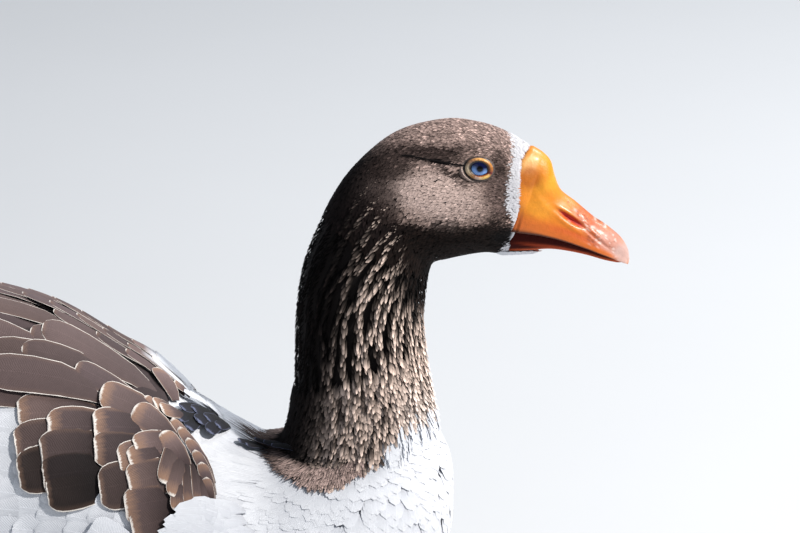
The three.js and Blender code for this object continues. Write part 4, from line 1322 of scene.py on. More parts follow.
def wing_height(u, v):
    x, angle = body_row(u)[..., 0], np.abs(v)
    front = smooth(0, WING["taper"], WING["front"] - x)
    rim = smooth(0, 14, wing_edge(x) - angle)
    free = np.maximum(smooth(17, 27, angle - saddle_edge(x)), smooth(26, 44, SADDLE["rear"] - x))
    thick = WING["under_saddle"] + (WING["thick"] - WING["under_saddle"]) * free
    return WING["rim"] + (thick - WING["rim"]) * np.minimum(front, rim)


saddle_ground = Ground(body_at, 1, (0, LAST_ROW), saddle_height)
wing_ground = Ground(body_at, 1, (0, LAST_ROW), wing_height)
SHELL = {"around": 30, "below_ground": 0.9, "below_body": 4.0}


def base_patch(ground, xs, low_angle, high_angle, side, tint, front=None):
    """A closed shell over the body that the vanes are rooted in, so that no gap shows the skin."""
    share = np.linspace(0, 1, SHELL["around"])[None]
    angle = low_angle(xs)[:, None] * (1 - share) + high_angle(xs)[:, None] * share
    x = np.broadcast_to(xs[:, None], angle.shape)
    if front is not None:
        x = x - (xs[0] - front(angle)) * (x - xs[-1]) / (xs[0] - xs[-1])
    u, v = row_at(x), side * angle
    top = ground.at(u, v, -SHELL["below_ground"] * np.ones_like(v))
    bottom = trunk.at(u, v, -SHELL["below_body"] * np.ones_like(v))
    ring = np.concatenate([top, bottom[:, ::-1]], axis=1)
    sheet = np.concatenate([trunk.chart(u, v), trunk.chart(u, v)[:, ::-1]], axis=1)
    if side < 0:
        ring, sheet = ring[:, ::-1], sheet[:, ::-1]
    points, faces = loft(ring)
    sheet = np.vstack([sheet.reshape(-1, 2), sheet[0].mean(0), sheet[-1].mean(0)])
    count = len(points)
    return {"points": points, "faces": faces, "tint": np.tile(tint, (count, 1)),
            "vane": np.tile([9, 0, 0.5], (count, 1)), "sheet": sheet, "rim": np.zeros(count, bool)}


# %% Saddle feathers
# The shoulder's feathers, as drawn in side view: x and level of the tip, slope up towards the tip in degrees,
# length, width, warmth of the edge from 0 to 1 and how much higher than its neighbours it lies, in mm.
LONG_FEATHERS = [
    # beside the spine
    (84, 151, 50, 16, 8, 0.8, 0), (74, 154.5, 60, 27, 14, 0.7, 0.5), (56, 170, 36, 44, 13, 0.2, 0),
    (39.5, 176, 32, 56, 14, 0.15, 0), (17, 185, 25, 58, 14, 0.1, 0), (17, 179.5, 27, 64, 17, 0.05, 0),
    (7, 168, 27, 62, 21, 0.1, -0.5), (12.5, 169.5, 28, 72, 28, 0.05, 0.4), (-24, 185, 20, 70, 16, 0.05, 0),
    (-30, 175, 26, 70, 18, 0.05, 0), (-26, 164, 28, 62, 18, 0.05, 0),
    # small ones where the shoulder turns
    (68, 131, 40, 14, 8, 0.9, 0), (73, 127.5, 10, 16, 9, 1, 0), (77, 124.5, 8, 17, 9, 1, 0.2),
    (84, 119, 48, 24, 8, 1, 0), (88, 114, 50, 27, 8, 1, 0.2), (92.5, 108, 54, 28, 7.5, 1, 0.3),
    (96.5, 101.5, 60, 26, 7, 0.9, 0.3), (100, 95, 66, 22, 7, 0.8, 0.2), (103, 87, 74, 18, 6, 0.6, 0.1),
    # the long row over the flank, from behind to the shoulder
    (-19, 145.5, 11, 76, 22, 0.05, 2.4), (-14, 157, 13, 62, 20, 0.1, 0.6), (3.5, 157, 17, 56, 18, 0.15, 0.6),
    (31, 147.5, 27, 46, 17, 0.25, 0.8), (44.5, 134, 25, 44, 23, 1, 1), (62.5, 124.5, 36, 36, 19, 1, 1),
    (78, 111.5, 50, 27, 15, 1, 1),
]
# Broad ones that hang over the flank.
FLANK_FEATHERS = [
    (4, 122.5, 0, 46, 25, 0.7, -0.6), (3, 106.5, -4, 44, 25, 0.3, -0.4), (5, 91, -9, 40, 25, 0.5, -0.3),
    (19.5, 115, 0, 42, 24, 0.9, 0), (16.5, 101, -3, 42, 26, 0.35, 0.2), (18, 89, -6, 40, 25, 0.5, 0.2),
    (20, 81.5, -9, 38, 25, 0.3, 0), (42.5, 115, 3, 38, 25, 1, 0.6), (43.5, 103, -2, 36, 21, 1, 0.6),
    (47, 82, -10, 36, 25, 0.4, 0.4), (56.5, 96, -10, 30, 21, 0.8, 0.5), (64, 104, -6, 26, 15, 0.9, 1),
    (61.5, 97, -15, 24, 14, 1, 1), (62, 84, -14, 30, 22, 0.8, 0.8), (60.5, 72, -9, 30, 19, 0.9, 0.8),
    (64.5, 60.5, -15, 28, 20, 0.6, 0.4),
]
# Narrow ones in front.
NARROW_FEATHERS = [
    (80, 84, -76, 30, 10, 1, 1), (85, 77, -79, 29, 10, 1, 1), (88, 69, -83, 26, 10, 1, 1),
    (95, 71.5, -96, 30, 8, 1, 0.6), (100.5, 71.5, -99, 28, 7.5, 1, 0.4), (103.5, 70, -97, 26, 6, 0.6, 0.2),
]
SADDLE_TABLES = [(ROUND_SCAPULAR, LONG_FEATHERS), (SCAPULAR, FLANK_FEATHERS),
                 (ROUND_SCAPULAR, NARROW_FEATHERS)]
# Rows that carry the pattern on over the back: turn from the spine, x of the first and last tip, length and
# width.
BACK_ROWS = [(4, -44, -124, 62, 19), (14, -56, -124, 66, 22), (24, -50, -120, 66, 23),
             (33, -46, -122, 68, 23), (41, -44, -118, 72, 23)]
BACK_STEP = 26
# Over the ridge, laid with the right saddle.
SPINE_ROW = {"first": 72, "last": -34, "step": 14, "length": 48, "width": 15, "foremost": 94}
MM_PER_DEGREE = 1.75  # round the flank
SHORT_OF = 60  # the left shoulder is white in front of this x


def left_white(p):
    """1 on the front of the left shoulder, which is white up to the spine."""
    return smooth(68, 76, p[..., 0]) * smooth(70, 64, p[..., 1]) * smooth(-3, 2, p[..., 1])


def saddle_paint(p, dice, warmth):
    """Brown, darker low down behind and lighter on the shoulder and along the spine. The dark low down behind
    is painted shade, and the band along the spine is painted highlight with painted shade just below it.
    """
    x, h = p[:, 0], level(p)
    warm = mix(SADDLE_BROWN, SADDLE_WARM, dice.uniform(0, 1, len(p)))
    # Painted shade on the low hanging feathers behind, which face down and away from the light; it dims their
    # warm edges too.
    painted_shade_low_rear = 1 - 0.8 * smooth(116, 86, h) * smooth(54, 44, x)
    # Painted shade just below the spine and a painted highlight along it.
    top = 1 - 0.2 * smooth(146, 156, h) + 0.3 * smooth(166, 174, h)
    light = (1 + 0.35 * smooth(40, 60, x) * smooth(84, 108, h)) * top
    tone = (dice.uniform(0.84, 1.14, len(p)) * painted_shade_low_rear * light)[:, None]
    glow = (np.broadcast_to(np.asarray(warmth, float), len(p)) * painted_shade_low_rear)[:, None]
    root = mix(SADDLE_DARK, warm, 0.55 * smooth(120, 145, h))
    return np.hstack([root * tone, glow]), np.hstack([warm * tone, glow])


def whitened(batch):
    """The same vanes with the white of the left shoulder laid over them."""
    share = left_white(batch["points"])
    batch["tint"] = mix(batch["tint"], np.array([*WHITE, 0]), share)
    return batch


def make_saddle(name, side):
    dice = np.random.default_rng(21 if side > 0 else 22)
    xs = np.linspace(100, SADDLE["rear"] + 14, 60)
    tint = SADDLE_DARK if side < 0 else SADDLE_BROWN
    batches = [base_patch(saddle_ground, xs, lambda x: 0 * x, lambda x: saddle_edge(x) - 3, side, (*tint, 0),
                          lambda angle: saddle_front(angle) - 7)]

    def add(shape, root, tip, length, width, warmth, extra, patch):
        """Vanes from root to tip, both given as x and turn from the spine, extra mm higher than usual."""
        batches.append(lay(
            saddle_ground, shape, row_at(root[0]), side * root[1], length, width,
            lambda p, d: saddle_paint(p, d, warmth), dice, to=(row_at(tip[0]), side * tip[1]), sunk=1.6,
            rise=2.0 + extra, ramp=1.5, arch=0.7, tilt=0.55 * (side < 0), fray=0.008 * (shape is SCAPULAR),
            patch=patch))

    differ = 0.0 if side < 0 else 1.0
    for shape, table in SADDLE_TABLES:
        rows = [row for row in table if side < 0 or table is not LONG_FEATHERS or row[0] < SHORT_OF]
        x, height, slope, length, width, warmth, extra = np.array(rows, float).T
        x = x + differ * dice.uniform(-2, 2, len(x))
        height = height + differ * dice.uniform(-1.5, 1.5, len(x))
        back = np.radians(slope)
        root_x, root_height = x + length * np.cos(back), height - length * np.sin(back)
        tip = x, turn_at(saddle_ground, x, height)
        root = root_x, turn_at(saddle_ground, root_x, root_height)
        add(shape, root, tip, length, width, warmth, extra, (0.03, 0.012))
    for turn, first, last, length, width in BACK_ROWS:
        x = np.arange(first, last - 1, -BACK_STEP)
        x = x + dice.uniform(-2, 2, len(x))
        turns = turn + dice.uniform(-1, 1, len(x))
        add(ROUND_SCAPULAR, (x + length, turns * 0.94), (x, turns), length, width, 0.06, 0, (0.03, 0.02))
    for turn, extra in ((-2.5, 0.8),) if side < 0 else ((12, 0.4), (22, 0.2)):
        x = np.arange(SPINE_ROW["first"], SPINE_ROW["last"], -SPINE_ROW["step"]) + dice.uniform(-2, 2)
        turns = turn + dice.uniform(-1.5, 1.5, len(x))
        length = np.minimum(SPINE_ROW["length"], SPINE_ROW["foremost"] - x)
        add(ROUND_SCAPULAR, (x + length, turns * 0.8), (x, turns), length, SPINE_ROW["width"], 0.1, extra,
            (0.03, 0.02))
    coat(name, [whitened(b) for b in batches], saddle_plumes, [name])


for side_name, side in SIDES.items():
    make_saddle("saddle_" + side_name, side)

# %% White shoulder feathers
# White feathers of the breast overlap the saddle's lower front. They stand in columns at each x, and their
# tips lie so many mm below the border's level there.
over_saddle = line([(68, 46), (76, 58), (84, 66), (94, 71), (104, 71)])
BANK_COLUMNS, BANK_STEPS = np.arange(66, 106, 2.6), np.arange(0, 30, 5)
ALULA = [(43, 62, 36, 42, 19)]  # a stiff white feather below the saddle's edge


def make_shoulder():
    dice = np.random.default_rng(23)
    count = len(BANK_COLUMNS) * len(BANK_STEPS)
    x = np.repeat(BANK_COLUMNS, len(BANK_STEPS)) + dice.uniform(-1.5, 1.5, count)
    below = np.tile(BANK_STEPS, len(BANK_COLUMNS)) + dice.uniform(-2, 2, count)
    slope, length, width = (dice.uniform(low, high, count) for low, high in ((-4, 26), (20, 25), (7, 9)))
    rows = np.stack([x, over_saddle(x) - below, slope, length, width], -1)
    high = 1.4 + smooth(30, 0, below) * (3 + 5 * smooth(108, 82, x))
    bank = drawn_vanes(rows, trunk, body_white, dice, (1, -1), LEAF, sunk=0.5, rise=high)
    alula = drawn_vanes(ALULA, wing_ground, body_white, dice, (1, -1), SCAPULAR, sunk=0.5, rise=4.6)
    coat("coat_shoulder", [bank, alula], body_plumes)


make_shoulder()

# %% Wing feathers
COVERT = plan([(0, 0.4), (0.25, 0.72), (0.5, 0.95), (0.72, 1), (0.86, 0.9), (0.95, 0.66), (1, 0.3)], 7,
              False, False)
REMEX = plan([(0, 0.45), (0.2, 0.75), (0.4, 0.92), (0.6, 1), (0.78, 1), (0.88, 0.9), (0.95, 0.7), (1, 0.3)],
             9, False, False)
QUILL_FRAY = 0.01


def wing_paint(p, dice):
    tone = dice.uniform(0.93, 1, len(p))[:, None]
    return DOWN * 0.8 * tone, WHITE * tone


def wing_tier(shape, tips_x, angles, length, width, lean, side, dice, **options):
    """Vanes whose tips are at x and angle, with their roots found by going back along the lean."""
    count = len(angles)
    lean = np.broadcast_to(np.asarray(lean, float), count)
    back = np.radians(lean)
    tips_x = tips_x + dice.uniform(-2, 2, count)
    angles = angles + dice.uniform(-1, 1, count)
    length = length * dice.uniform(0.95, 1.06, count)
    u = row_at(tips_x + length * np.cos(back))
    v = side * np.maximum(angles - length * np.sin(back) / MM_PER_DEGREE, 1)
    return lay(wing_ground, shape, u, v, length, width, wing_paint, dice, lean=lean, sunk=1.4, ramp=1,
               **options)


def quill(root, tip, width, sag, roll, shape, paint, dice, place, arch=0.8, patch=(0.1, 0.02)):
    """A free vane between two points, bowed by its sag and rolled about its length in radians. Place is
    where its patch lies on the unwrapped sheet."""
    root, tip = np.array(root, float), np.array(tip, float)
    t, c, w = shape["along"], shape["across"], shape["wide"]
    s = (t + dice.uniform(-1, 1, len(t)) * QUILL_FRAY * (t > 0.9))[:, None]
    middle = (root + tip) / 2 + (0, 0, sag)
    centre = (1 - s) ** 2 * root + 2 * s * (1 - s) * middle + s ** 2 * tip
    forward = unit(2 * (1 - s) * (middle - root) + 2 * s * (tip - middle))
    across = np.array([0, math.cos(roll), math.sin(roll)])
    across = unit(across - forward * np.sum(across * forward, -1, keepdims=True))
    up = np.cross(forward, across)
    flip = np.sign(up[0, 2])
    across, up = across * flip, up * flip
    points = centre + across * (width / 2 * c * w)[:, None] + up * (arch * (1 - c ** 2))[:, None]
    root_tint, tip_tint = paint(tip[None], dice)
    blend = smooth(0, 0.5, t)[:, None]
    sheet = np.array(place) + np.stack([t * patch[0], (c + 1) / 2 * patch[1]], -1)
    vane = np.stack([t, c, np.full(len(t), dice.uniform())], -1)
    return {"points": points, "faces": shape["faces"], "tint": root_tint * (1 - blend) + tip_tint * blend,
            "vane": vane, "sheet": sheet, "rim": shape["rim"]}


WING_TIERS = [
    # x of the tips, first angle below the saddle's edge, length, width
    (66, -4, 22, 12), (54, -5, 24, 13), (42, -5, 26, 14), (30, -5, 28, 15), (17, -6, 30, 16), (4, -6, 32, 17),
    (-10, -6, 34, 18), (-24, -7, 37, 19), (-39, -7, 40, 20), (-55, -7, 44, 21), (-72, -7, 48, 22),
    (-90, -7, 54, 23),
]
SECONDARIES = {"count": 13, "tips": ((-112, 102), (-212, 74)), "length": (80, 168), "width": 24}
TERTIALS = {"count": 8, "tips": ((-220, 66), (-252, 10)), "length": (162, 178), "width": 27}
# The innermost ones lie free over the folded quills: x and turn of the root, tip, and the step to the next.
OVER_QUILLS = {"count": 6, "width": 21, "root": (-90, 4), "tip": (-262, 6, 165), "root_step": (-2, 8),
               "tip_step": (5, 7, -1.2)}
PRIMARIES = {"count": 9, "width": 16, "root": (-170, 34, 164.5), "tip": (-319, 12, 148.5),
             "root_step": (0, -0.75, 0.55), "tip_step": (7.5, 3, 1.3), "roll": -0.3}


def numbered_end(fan, end, i):
    """The root or tip of vane number i of a fan."""
    return np.array(fan[end]) + np.array(fan[end + "_step"]) * i


def make_wing(name, side):
    dice = np.random.default_rng(31 if side > 0 else 32)
    xs = np.concatenate([np.linspace(WING["front"] - 2, SADDLE["rear"] + 22, 50),
                         np.linspace(SADDLE["rear"] + 16, WING["rear"] + 32, 24)])
    top = lambda x: np.where(x > SADDLE["rear"] + 20, saddle_edge(x) - 8, 0.4)
    bottom = lambda x: wing_edge(x) - 4 - 9 * smooth(-100, -130, x)
    batches = [base_patch(wing_ground, xs, top, bottom, side, DOWN)]
    for number, (x, first, length, width) in enumerate(WING_TIERS):
        step = 0.62 * width / MM_PER_DEGREE
        low = float(saddle_edge(x)) + first
        angles = np.arange(low + (number % 2) * 0.5 * step, float(wing_edge(x)) - 1, step)
        lean = 3 * smooth(-60, 60, x)
        batches.append(wing_tier(COVERT, x, angles, length, width, lean, side, dice, rise=1.9, arch=0.7,
                                 tilt=0.35, fray=0.01, patch=(0.018, 0.8 * step / 360)))
    for fan in (SECONDARIES, TERTIALS):
        for s in np.linspace(0, 1, fan["count"]):
            x, angle, length = (a + (b - a) * s for a, b in (*zip(*fan["tips"]), fan["length"]))
            batches.append(wing_tier(REMEX, x, np.array([angle]), length, fan["width"], -2.5, side, dice,
                                     rise=2.2 + 1.2 * s, arch=0.9, tilt=0.6, fray=0.008, patch=(0.05, 0.02)))
    mirror = (1, side, 1)
    for i in reversed(range(OVER_QUILLS["count"])):
        x, turn = numbered_end(OVER_QUILLS, "root", i)
        root = wing_ground.at(row_at(x), side * turn, 2.4)
        tip = numbered_end(OVER_QUILLS, "tip", i) * mirror
        place = 0.68, 0.5 + side * (0.02 + 0.022 * i)
        batches.append(quill(root, tip, OVER_QUILLS["width"], 2.5, -side * 0.07 * i, REMEX, wing_paint, dice,
                             place))
    for i in range(PRIMARIES["count"]):
        root, tip = (numbered_end(PRIMARIES, end, i) * mirror for end in ("root", "tip"))
        place = 0.75, 0.5 + side * (0.1 + 0.022 * i)
        batches.append(quill(root, tip, PRIMARIES["width"], 3, side * PRIMARIES["roll"], REMEX, wing_paint,
                             dice, place))
    coat(name, batches, quill_plumes, [name])


for side_name, side in SIDES.items():
    make_wing("wing_" + side_name, side)

# %% [markdown]
# ## The tail
# The tail is a short, stiff fan that rises a little behind the crossed wing tips. Its middle pair lies on top
# and the outer feathers step down on both sides; softer coverts hide the roots.

# %% Tail
TAIL = {"pairs": 8, "width": 19, "root": (-262, 1.7, 121), "tip": (-331, 4.7, 133.5), "down": 0.75,
        "shorter": 0.34, "sag": 3, "roll": 0.04}
# Rows of coverts: x of root and tip, pairs and lift.
TAIL_COVERTS = [(-247, -303, 4, 1), (-243, -290, 5, 2.4), (-240, -277, 6, 3.6)]
COVERT_ROW = {"width": 16, "sag": 2.4, "roll": 0.05, "root": (3.4, 127, 1.1), "tip": (5.2, 131, 1.6)}


def make_tail():
    dice = np.random.default_rng(41)
    batches = []
    for i in range(-TAIL["pairs"], TAIL["pairs"] + 1):
        out = abs(i)
        root = (TAIL["root"][0], TAIL["root"][1] * i, TAIL["root"][2] - TAIL["down"] * out)
        tip = (TAIL["tip"][0] + TAIL["shorter"] * out ** 2, TAIL["tip"][1] * i,
               TAIL["tip"][2] - (TAIL["down"] + 0.12) * out)
        batches.append(quill(root, tip, TAIL["width"], TAIL["sag"], -TAIL["roll"] * i, REMEX, wing_paint,
                             dice, (0.88, 0.5 + 0.021 * i)))
    for root_x, tip_x, pairs, lift in TAIL_COVERTS:
        for i in range(-pairs, pairs + 1):
            out = abs(i)
            apart, high, down = COVERT_ROW["root"]
            root = (root_x, apart * i, high + lift - down * out)
            apart, high, down = COVERT_ROW["tip"]
            tip = (tip_x + 2.0 * out, apart * i, high + lift * 1.6 - down * out)
            batches.append(quill(root, tip, COVERT_ROW["width"], COVERT_ROW["sag"], -COVERT_ROW["roll"] * i,
                                 COVERT, wing_paint, dice, (0.8, 0.5 + 0.021 * i)))
    coat("tail", batches, quill_plumes, ["tail"])


make_tail()

# %% [markdown]
# ## The bill
# The bill is horn over bone, orange with a waxy gloss, and it is bare, so every dent shows. A smooth loft
# alone would look like plastic. The nostrils, the folds before them, the thick red edge along the mouth and
# the nail at the tip are all pushed into or out of a fine grid.

# %% Tables of the bill
# Upper half: culmen x, z, mouth line x, z, half width.
UPPER_BILL = [
    (280, 272, 269.3, 228, 15.4), (285.4, 268.2, 272.6, 227.8, 15.5), (289.4, 263.4, 277, 227.2, 15.3),
    (291.6, 255.4, 282, 226.4, 14.9), (295, 247.4, 288, 225, 14.3), (303, 240.9, 296.4, 222.6, 13.6),
    (313, 232.2, 306.6, 218.9, 12.8), (321, 226, 316, 215, 11.8), (327, 220.6, 323.4, 211.6, 9.6),
    (330.6, 214.6, 328.4, 208.4, 6), (331.5, 209.2, 330.8, 206.4, 2.2),
]
# Lower half: x, top, underside, half width.
LOWER_BILL = [
    (266, 228.2, 214.4, 11.4), (279, 227.6, 215.4, 12.6), (289, 224.8, 216.2, 12.4), (299, 221.6, 215, 11.8),
    (309, 217.8, 212.8, 11), (318, 213.9, 210, 9.6), (324.6, 210.8, 208.2, 6.4), (327.4, 209.2, 207.6, 3),
]
ORANGE = shade(224, 128, 30)
BILL_MARKS = [
    # colour, x, height, half length, half depth, turn, strength
    (shade(236, 160, 40), 284, 258, 12, 12, 0, 0.8),
    # A pale patch on top of the base: partly own colour, partly painted highlight.
    (shade(244, 190, 118), 277.5, 264, 5.5, 6, 20, 0.8),
    (shade(234, 140, 14), 287, 261, 4.5, 6, 20, 0.8),
    (shade(176, 86, 8), 278, 257.5, 7.5, 7, -15, 0.8),
    (shade(214, 92, 36), 271, 232, 4, 6, 0, 0.7),
    (shade(238, 156, 42), 283, 241, 9, 6, -20, 0.75),
    (shade(206, 84, 34), 303, 223.5, 22, 4.2, -24, 0.8),
    (shade(186, 84, 44), 308, 234, 9, 4.5, -38, 0.75),
    (shade(186, 92, 54), 314, 226, 9, 6, -38, 0.85),
    (shade(190, 126, 106), 322, 220.5, 9, 7, -42, 0.95),
    (shade(196, 164, 156), 328, 213, 7, 8, -50, 0.9),
]
# Folds and grooves in the horn: x, height, half length, half width, turn, mm outwards.
BILL_FOLDS = [
    (299.4, 234.6, 9, 1.5, -35, -2.6), (298, 238.2, 8, 1.6, -35, 0.6), (299.4, 230.8, 8.5, 1.3, -35, 0.45),
    (311, 225.6, 6.5, 0.9, -42, -0.5), (300.8, 240, 3.2, 0.7, -34, -0.45),
    (305.5, 235.2, 2.8, 0.7, -50, -0.4), (309, 231.8, 2.6, 0.8, -48, 0.35),
    (312.6, 229.6, 2.2, 0.7, -60, -0.35), (315, 224.6, 5, 0.9, -42, 0.4), (316.8, 220.6, 5.5, 0.8, -36, -0.4),
    (278.5, 250, 6, 7, 0, -0.7), (286.5, 246, 9, 2.4, -55, -0.5), (290, 240, 10, 3, -40, 0.4),
]
# Bands along the edge of the mouth: the turns between which each sets in, and its colour. The first is the
# red horn of the edge; the dark second is a painted shadow below it, which also covers the palate.
MOUTH_EDGE_AND_SHADOW_BANDS = [(68, 80, shade(212, 108, 38)), (85.5, 88, shade(52, 18, 8))]
# The lower bill is darkest at its top, partly its own colour and partly painted shadow under the upper bill;
# its reddish streak is partly painted highlight.
LOWER_HORN, LOWER_TOP_DARK_AND_SHADED, LOWER_STREAK_AND_HIGHLIGHT = shade(168, 74, 36), shade(58, 12, 8), shade(156, 62, 34)
NOSTRIL, NOSTRIL_RED = (300.4, 234, 8.2, 1.5, -35), shade(196, 44, 30)
BASE_LOBE = (277, 257, 30, 15, 0)  # the swelling where the horn meets the feathers
BILL_FLECKS = 70


def bill_colour(p):
    colour = np.broadcast_to(ORANGE, p.shape).copy()
    for tint, *form, strength in BILL_MARKS:
        colour = mix(colour, tint, strength * np.clip(1.3 * spot(p, *form, 3), 0, 1))
    # Pale and dark flecks on the front of the bill: partly the horn's own mottling, partly painted highlight
    # on its rough surface and painted shade in its pits.
    dice = np.random.default_rng(51)
    for fleck in range(BILL_FLECKS):
        x = dice.uniform(298, 326)
        height = 238 - 0.95 * (x - 300) + dice.normal(0, 5)
        place = (x, height, dice.uniform(0.5, 1.6), dice.uniform(0.3, 0.7), -40)
        tint = shade(236, 214, 204) if fleck % 2 else shade(120, 50, 22)
        near = np.hypot(p[..., 0] - place[0], p[..., 2] - place[1]) < 5
        colour[near] = mix(colour[near], tint, 0.6 * spot(p[near], *place, 3))
    return mix(colour, NOSTRIL_RED, np.clip(1.5 * spot(p, *NOSTRIL, 4), 0, 1))


# %% Bill meshes
UPPER_GRID, LOWER_GRID, PALATE_COLUMNS = (150, 110), (90, 60), 12
upper_row = curve(numbered(UPPER_BILL))
lower_row = curve(numbered(LOWER_BILL))


def grid_sheet(rows, around, ends=((0.02, 0.5), (0.98, 0.5))):
    """The map of a loft: a grid over the sheet, then its two ends."""
    u, v = np.meshgrid(np.linspace(0.05, 0.95, rows), np.linspace(0.05, 0.95, around), indexing="ij")
    return np.vstack([np.stack([u, v], -1).reshape(-1, 2), *ends])


def solid(name, points, faces, colour, sheet, finish, nodes=()):
    """One piece that is a single closed surface, coloured point by point."""
    mesh = raw_mesh(name, points, faces)
    tinted(mesh, colour)
    sheet_map(mesh, sheet)
    print(f"{name}: {len(faces)} triangles")
    return piece(name, mesh, finish, nodes)


def bill_rows(at, table, grid, turn):
    """The numbers of a bill's table, the row, and sine and cosine of the turn, over a grid."""
    row = np.linspace(0, len(table) - 1, grid[0])[:, None]
    return [np.broadcast_to(c, grid) for c in np.moveaxis(at(row), -1, 0)], row, *sine_cosine(turn)


def upper_bill_points():
    turn = np.linspace(-90, 90, UPPER_GRID[1])[None]
    (tx, tz, mx, mz, wide), row, s, c = bill_rows(upper_row, UPPER_BILL, UPPER_GRID, turn)
    lift = np.abs(c) ** 1.15
    p = np.stack([mx + (tx - mx) * lift, wide * bulged(s, 0.8), mz + (tz - mz) * lift], -1)
    out = sum(mm * spot(p, *form, 3) for *form, mm in BILL_FOLDS)
    low = smooth(62, 84, np.abs(turn)) * smooth(0.2, 0.8, row) * smooth(10, 9, row)
    lobe = spot(p, *BASE_LOBE, 4) * np.clip(1 - row / 0.9, 0, 1)
    out = out + 0.9 * low + 3.6 * lobe
    p[..., 0] -= 6.0 * lobe ** 2 / np.maximum(lobe.max(), 0.1)
    nail = smooth(316, 321, p[..., 0] + 0.22 * (p[..., 2] - 214)) * smooth(9.5, 4.5, np.abs(p[..., 1]))
    p = p + nail[..., None] * (0.5, 0, 0.35)
    p[..., 1] += out * bulged(s, 0.5)
    p[0] = p[0] * (1, 0.9, 1) - (3, 0, 0)
    return p, np.abs(turn) * np.ones_like(row)


def make_upper_bill(finish):
    p, turn = upper_bill_points()
    across = np.linspace(1, -1, PALATE_COLUMNS + 2)[1:-1]
    share = (across[None, :, None] + 1) / 2
    palate = p[:, :1] * (1 - share) + p[:, -1:] * share
    palate[..., 2] += 1.6 * (1 - across[None] ** 2)
    ring = np.concatenate([p, palate], axis=1)
    points, faces = loft(ring)
    colour = bill_colour(points)
    # The red edge, then a painted shadow along the mouth and over the palate.
    for start, end, tint in MOUTH_EDGE_AND_SHADOW_BANDS:
        edge = np.concatenate([smooth(start, end, turn), np.ones(palate.shape[:2])], axis=1)
        edge = np.concatenate([edge.ravel(), [0, 0]]) * smooth(328, 320, points[:, 0])
        colour = mix(colour, tint, 0.9 * edge)
    solid("bill_upper", points, faces, colour, grid_sheet(*ring.shape[:2]), finish,
          ["bill_upper"])


def make_lower_bill(finish):
    turn = np.arange(0, 360, 360 // LOWER_GRID[1])[None]
    (x, top, under, wide), row, s, c = bill_rows(lower_row, LOWER_BILL, LOWER_GRID, turn)
    upper_half = c > 0
    z = np.where(upper_half, top, under + (top - under) * (1 - np.abs(c) ** 0.7))
    y = wide * bulged(s, np.where(upper_half, 1, 0.6))
    ridge = 0.35 * np.sin(row * 19) * smooth(0.2, 0, np.abs(c))
    points, faces = loft(np.stack([x, y + np.sign(s) * ridge, z], -1))
    edge = np.interp(points[:, 0], [r[0] for r in LOWER_BILL], [r[2] for r in LOWER_BILL])
    # Dark towards the top, partly painted shadow under the upper bill.
    colour = mix(LOWER_HORN, LOWER_TOP_DARK_AND_SHADED, smooth(1.2, 3.2, points[:, 2] - edge))
    # A reddish streak along the middle, partly painted highlight.
    streak = spot(points, 284, 219.6, 13, 1.1, -6, 3) + 0.7 * spot(points, 300, 217, 12, 0.8, -12, 3)
    colour = mix(colour, LOWER_STREAK_AND_HIGHLIGHT, np.clip(streak, 0, 0.8))
    solid("bill_lower", points, faces[:, ::-1], colour, grid_sheet(*LOWER_GRID), finish,
          ["bill_lower"])


def horn(name, roughness, wax, relief, scale, mottle, gloss):
    made, tree, shader = material(name, roughness, gloss, coat_weight=wax)
    shader.inputs["Coat Roughness"].default_value = 0.18
    cloud = use(tree, MOTTLE, Scale=scale, Amount=mottle)
    tree.links.new(scaled(tree, stored(tree, "plume").outputs["Color"], cloud.outputs["Factor"]),
                   shader.inputs["Base Color"])
    bump(tree, shader, cloud.outputs["Height"], relief, 0.5)
    return made


HORN = {"relief": 0.0006, "scale": 420, "mottle": 0.16}  # relief in metres
make_upper_bill(horn("waxy horn", roughness=0.44, wax=0.12, gloss=0.4, **HORN))
make_lower_bill(horn("dark horn", roughness=0.7, wax=0, gloss=0.08, **HORN))

# %% Chin feathers
CHIN = {"roots": (262, 211.8), "tips": (285, 213.6), "rows": 5, "across": 9, "spread": 1.15,
        "curl": 0.024, "width": 2.4}


def chin_paint(p, dice):
    pale = WHITE * dice.uniform(0.85, 1, (len(p), 1))
    return pale, pale


def make_chin():
    """Small white feathers that run forward below the lower bill and end in a point."""
    dice = np.random.default_rng(52)
    batches = []
    for row in range(CHIN["rows"]):
        for i in range(-CHIN["across"], CHIN["across"] + 1):
            y = CHIN["spread"] * (1 - 0.12 * row) * i
            start = CHIN["roots"][0] + 4.0 * row - 0.25 * abs(i)
            end = min(start + dice.uniform(5.5, 8), CHIN["tips"][0] - 0.5 * abs(i))
            low = np.interp([start, end], *np.transpose([CHIN["roots"], CHIN["tips"]])) + CHIN["curl"] * y * y
            root, tip = (start, y, low[0] + 0.7), (end, 0.9 * y, low[1])
            batches.append(quill(root, tip, CHIN["width"], 0, 0.14 * i, TUFT, chin_paint, dice,
                                 (0.96, 0.5 + 0.01 * i + 0.001 * row), arch=0.2, patch=(PATCH, PATCH)))
    coat("coat_chin", batches, small_plumes)


make_chin()

# %% [markdown]
# ## The eyes
# A bird's eye is a glossy ball that shows only a disc of iris, and a bare ring of lid runs round it. The
# iris is blue with a black pupil, darker at its rim and upper part, and the orange lid is thin and slightly
# wrinkled.

# %% Eyes
IRIS = {"pupil": 1.5, "edge": 4.5, "off": (0.4, 0.5)}
IRIS_BLUE, IRIS_DEEP, FOLD_PALE = shade(134, 174, 236), shade(12, 18, 58), shade(148, 128, 118)
LID = {"long": 7.5, "high": 5.8, "thick": 0.9, "out": 5.9, "lean": 14, "turn": 8}
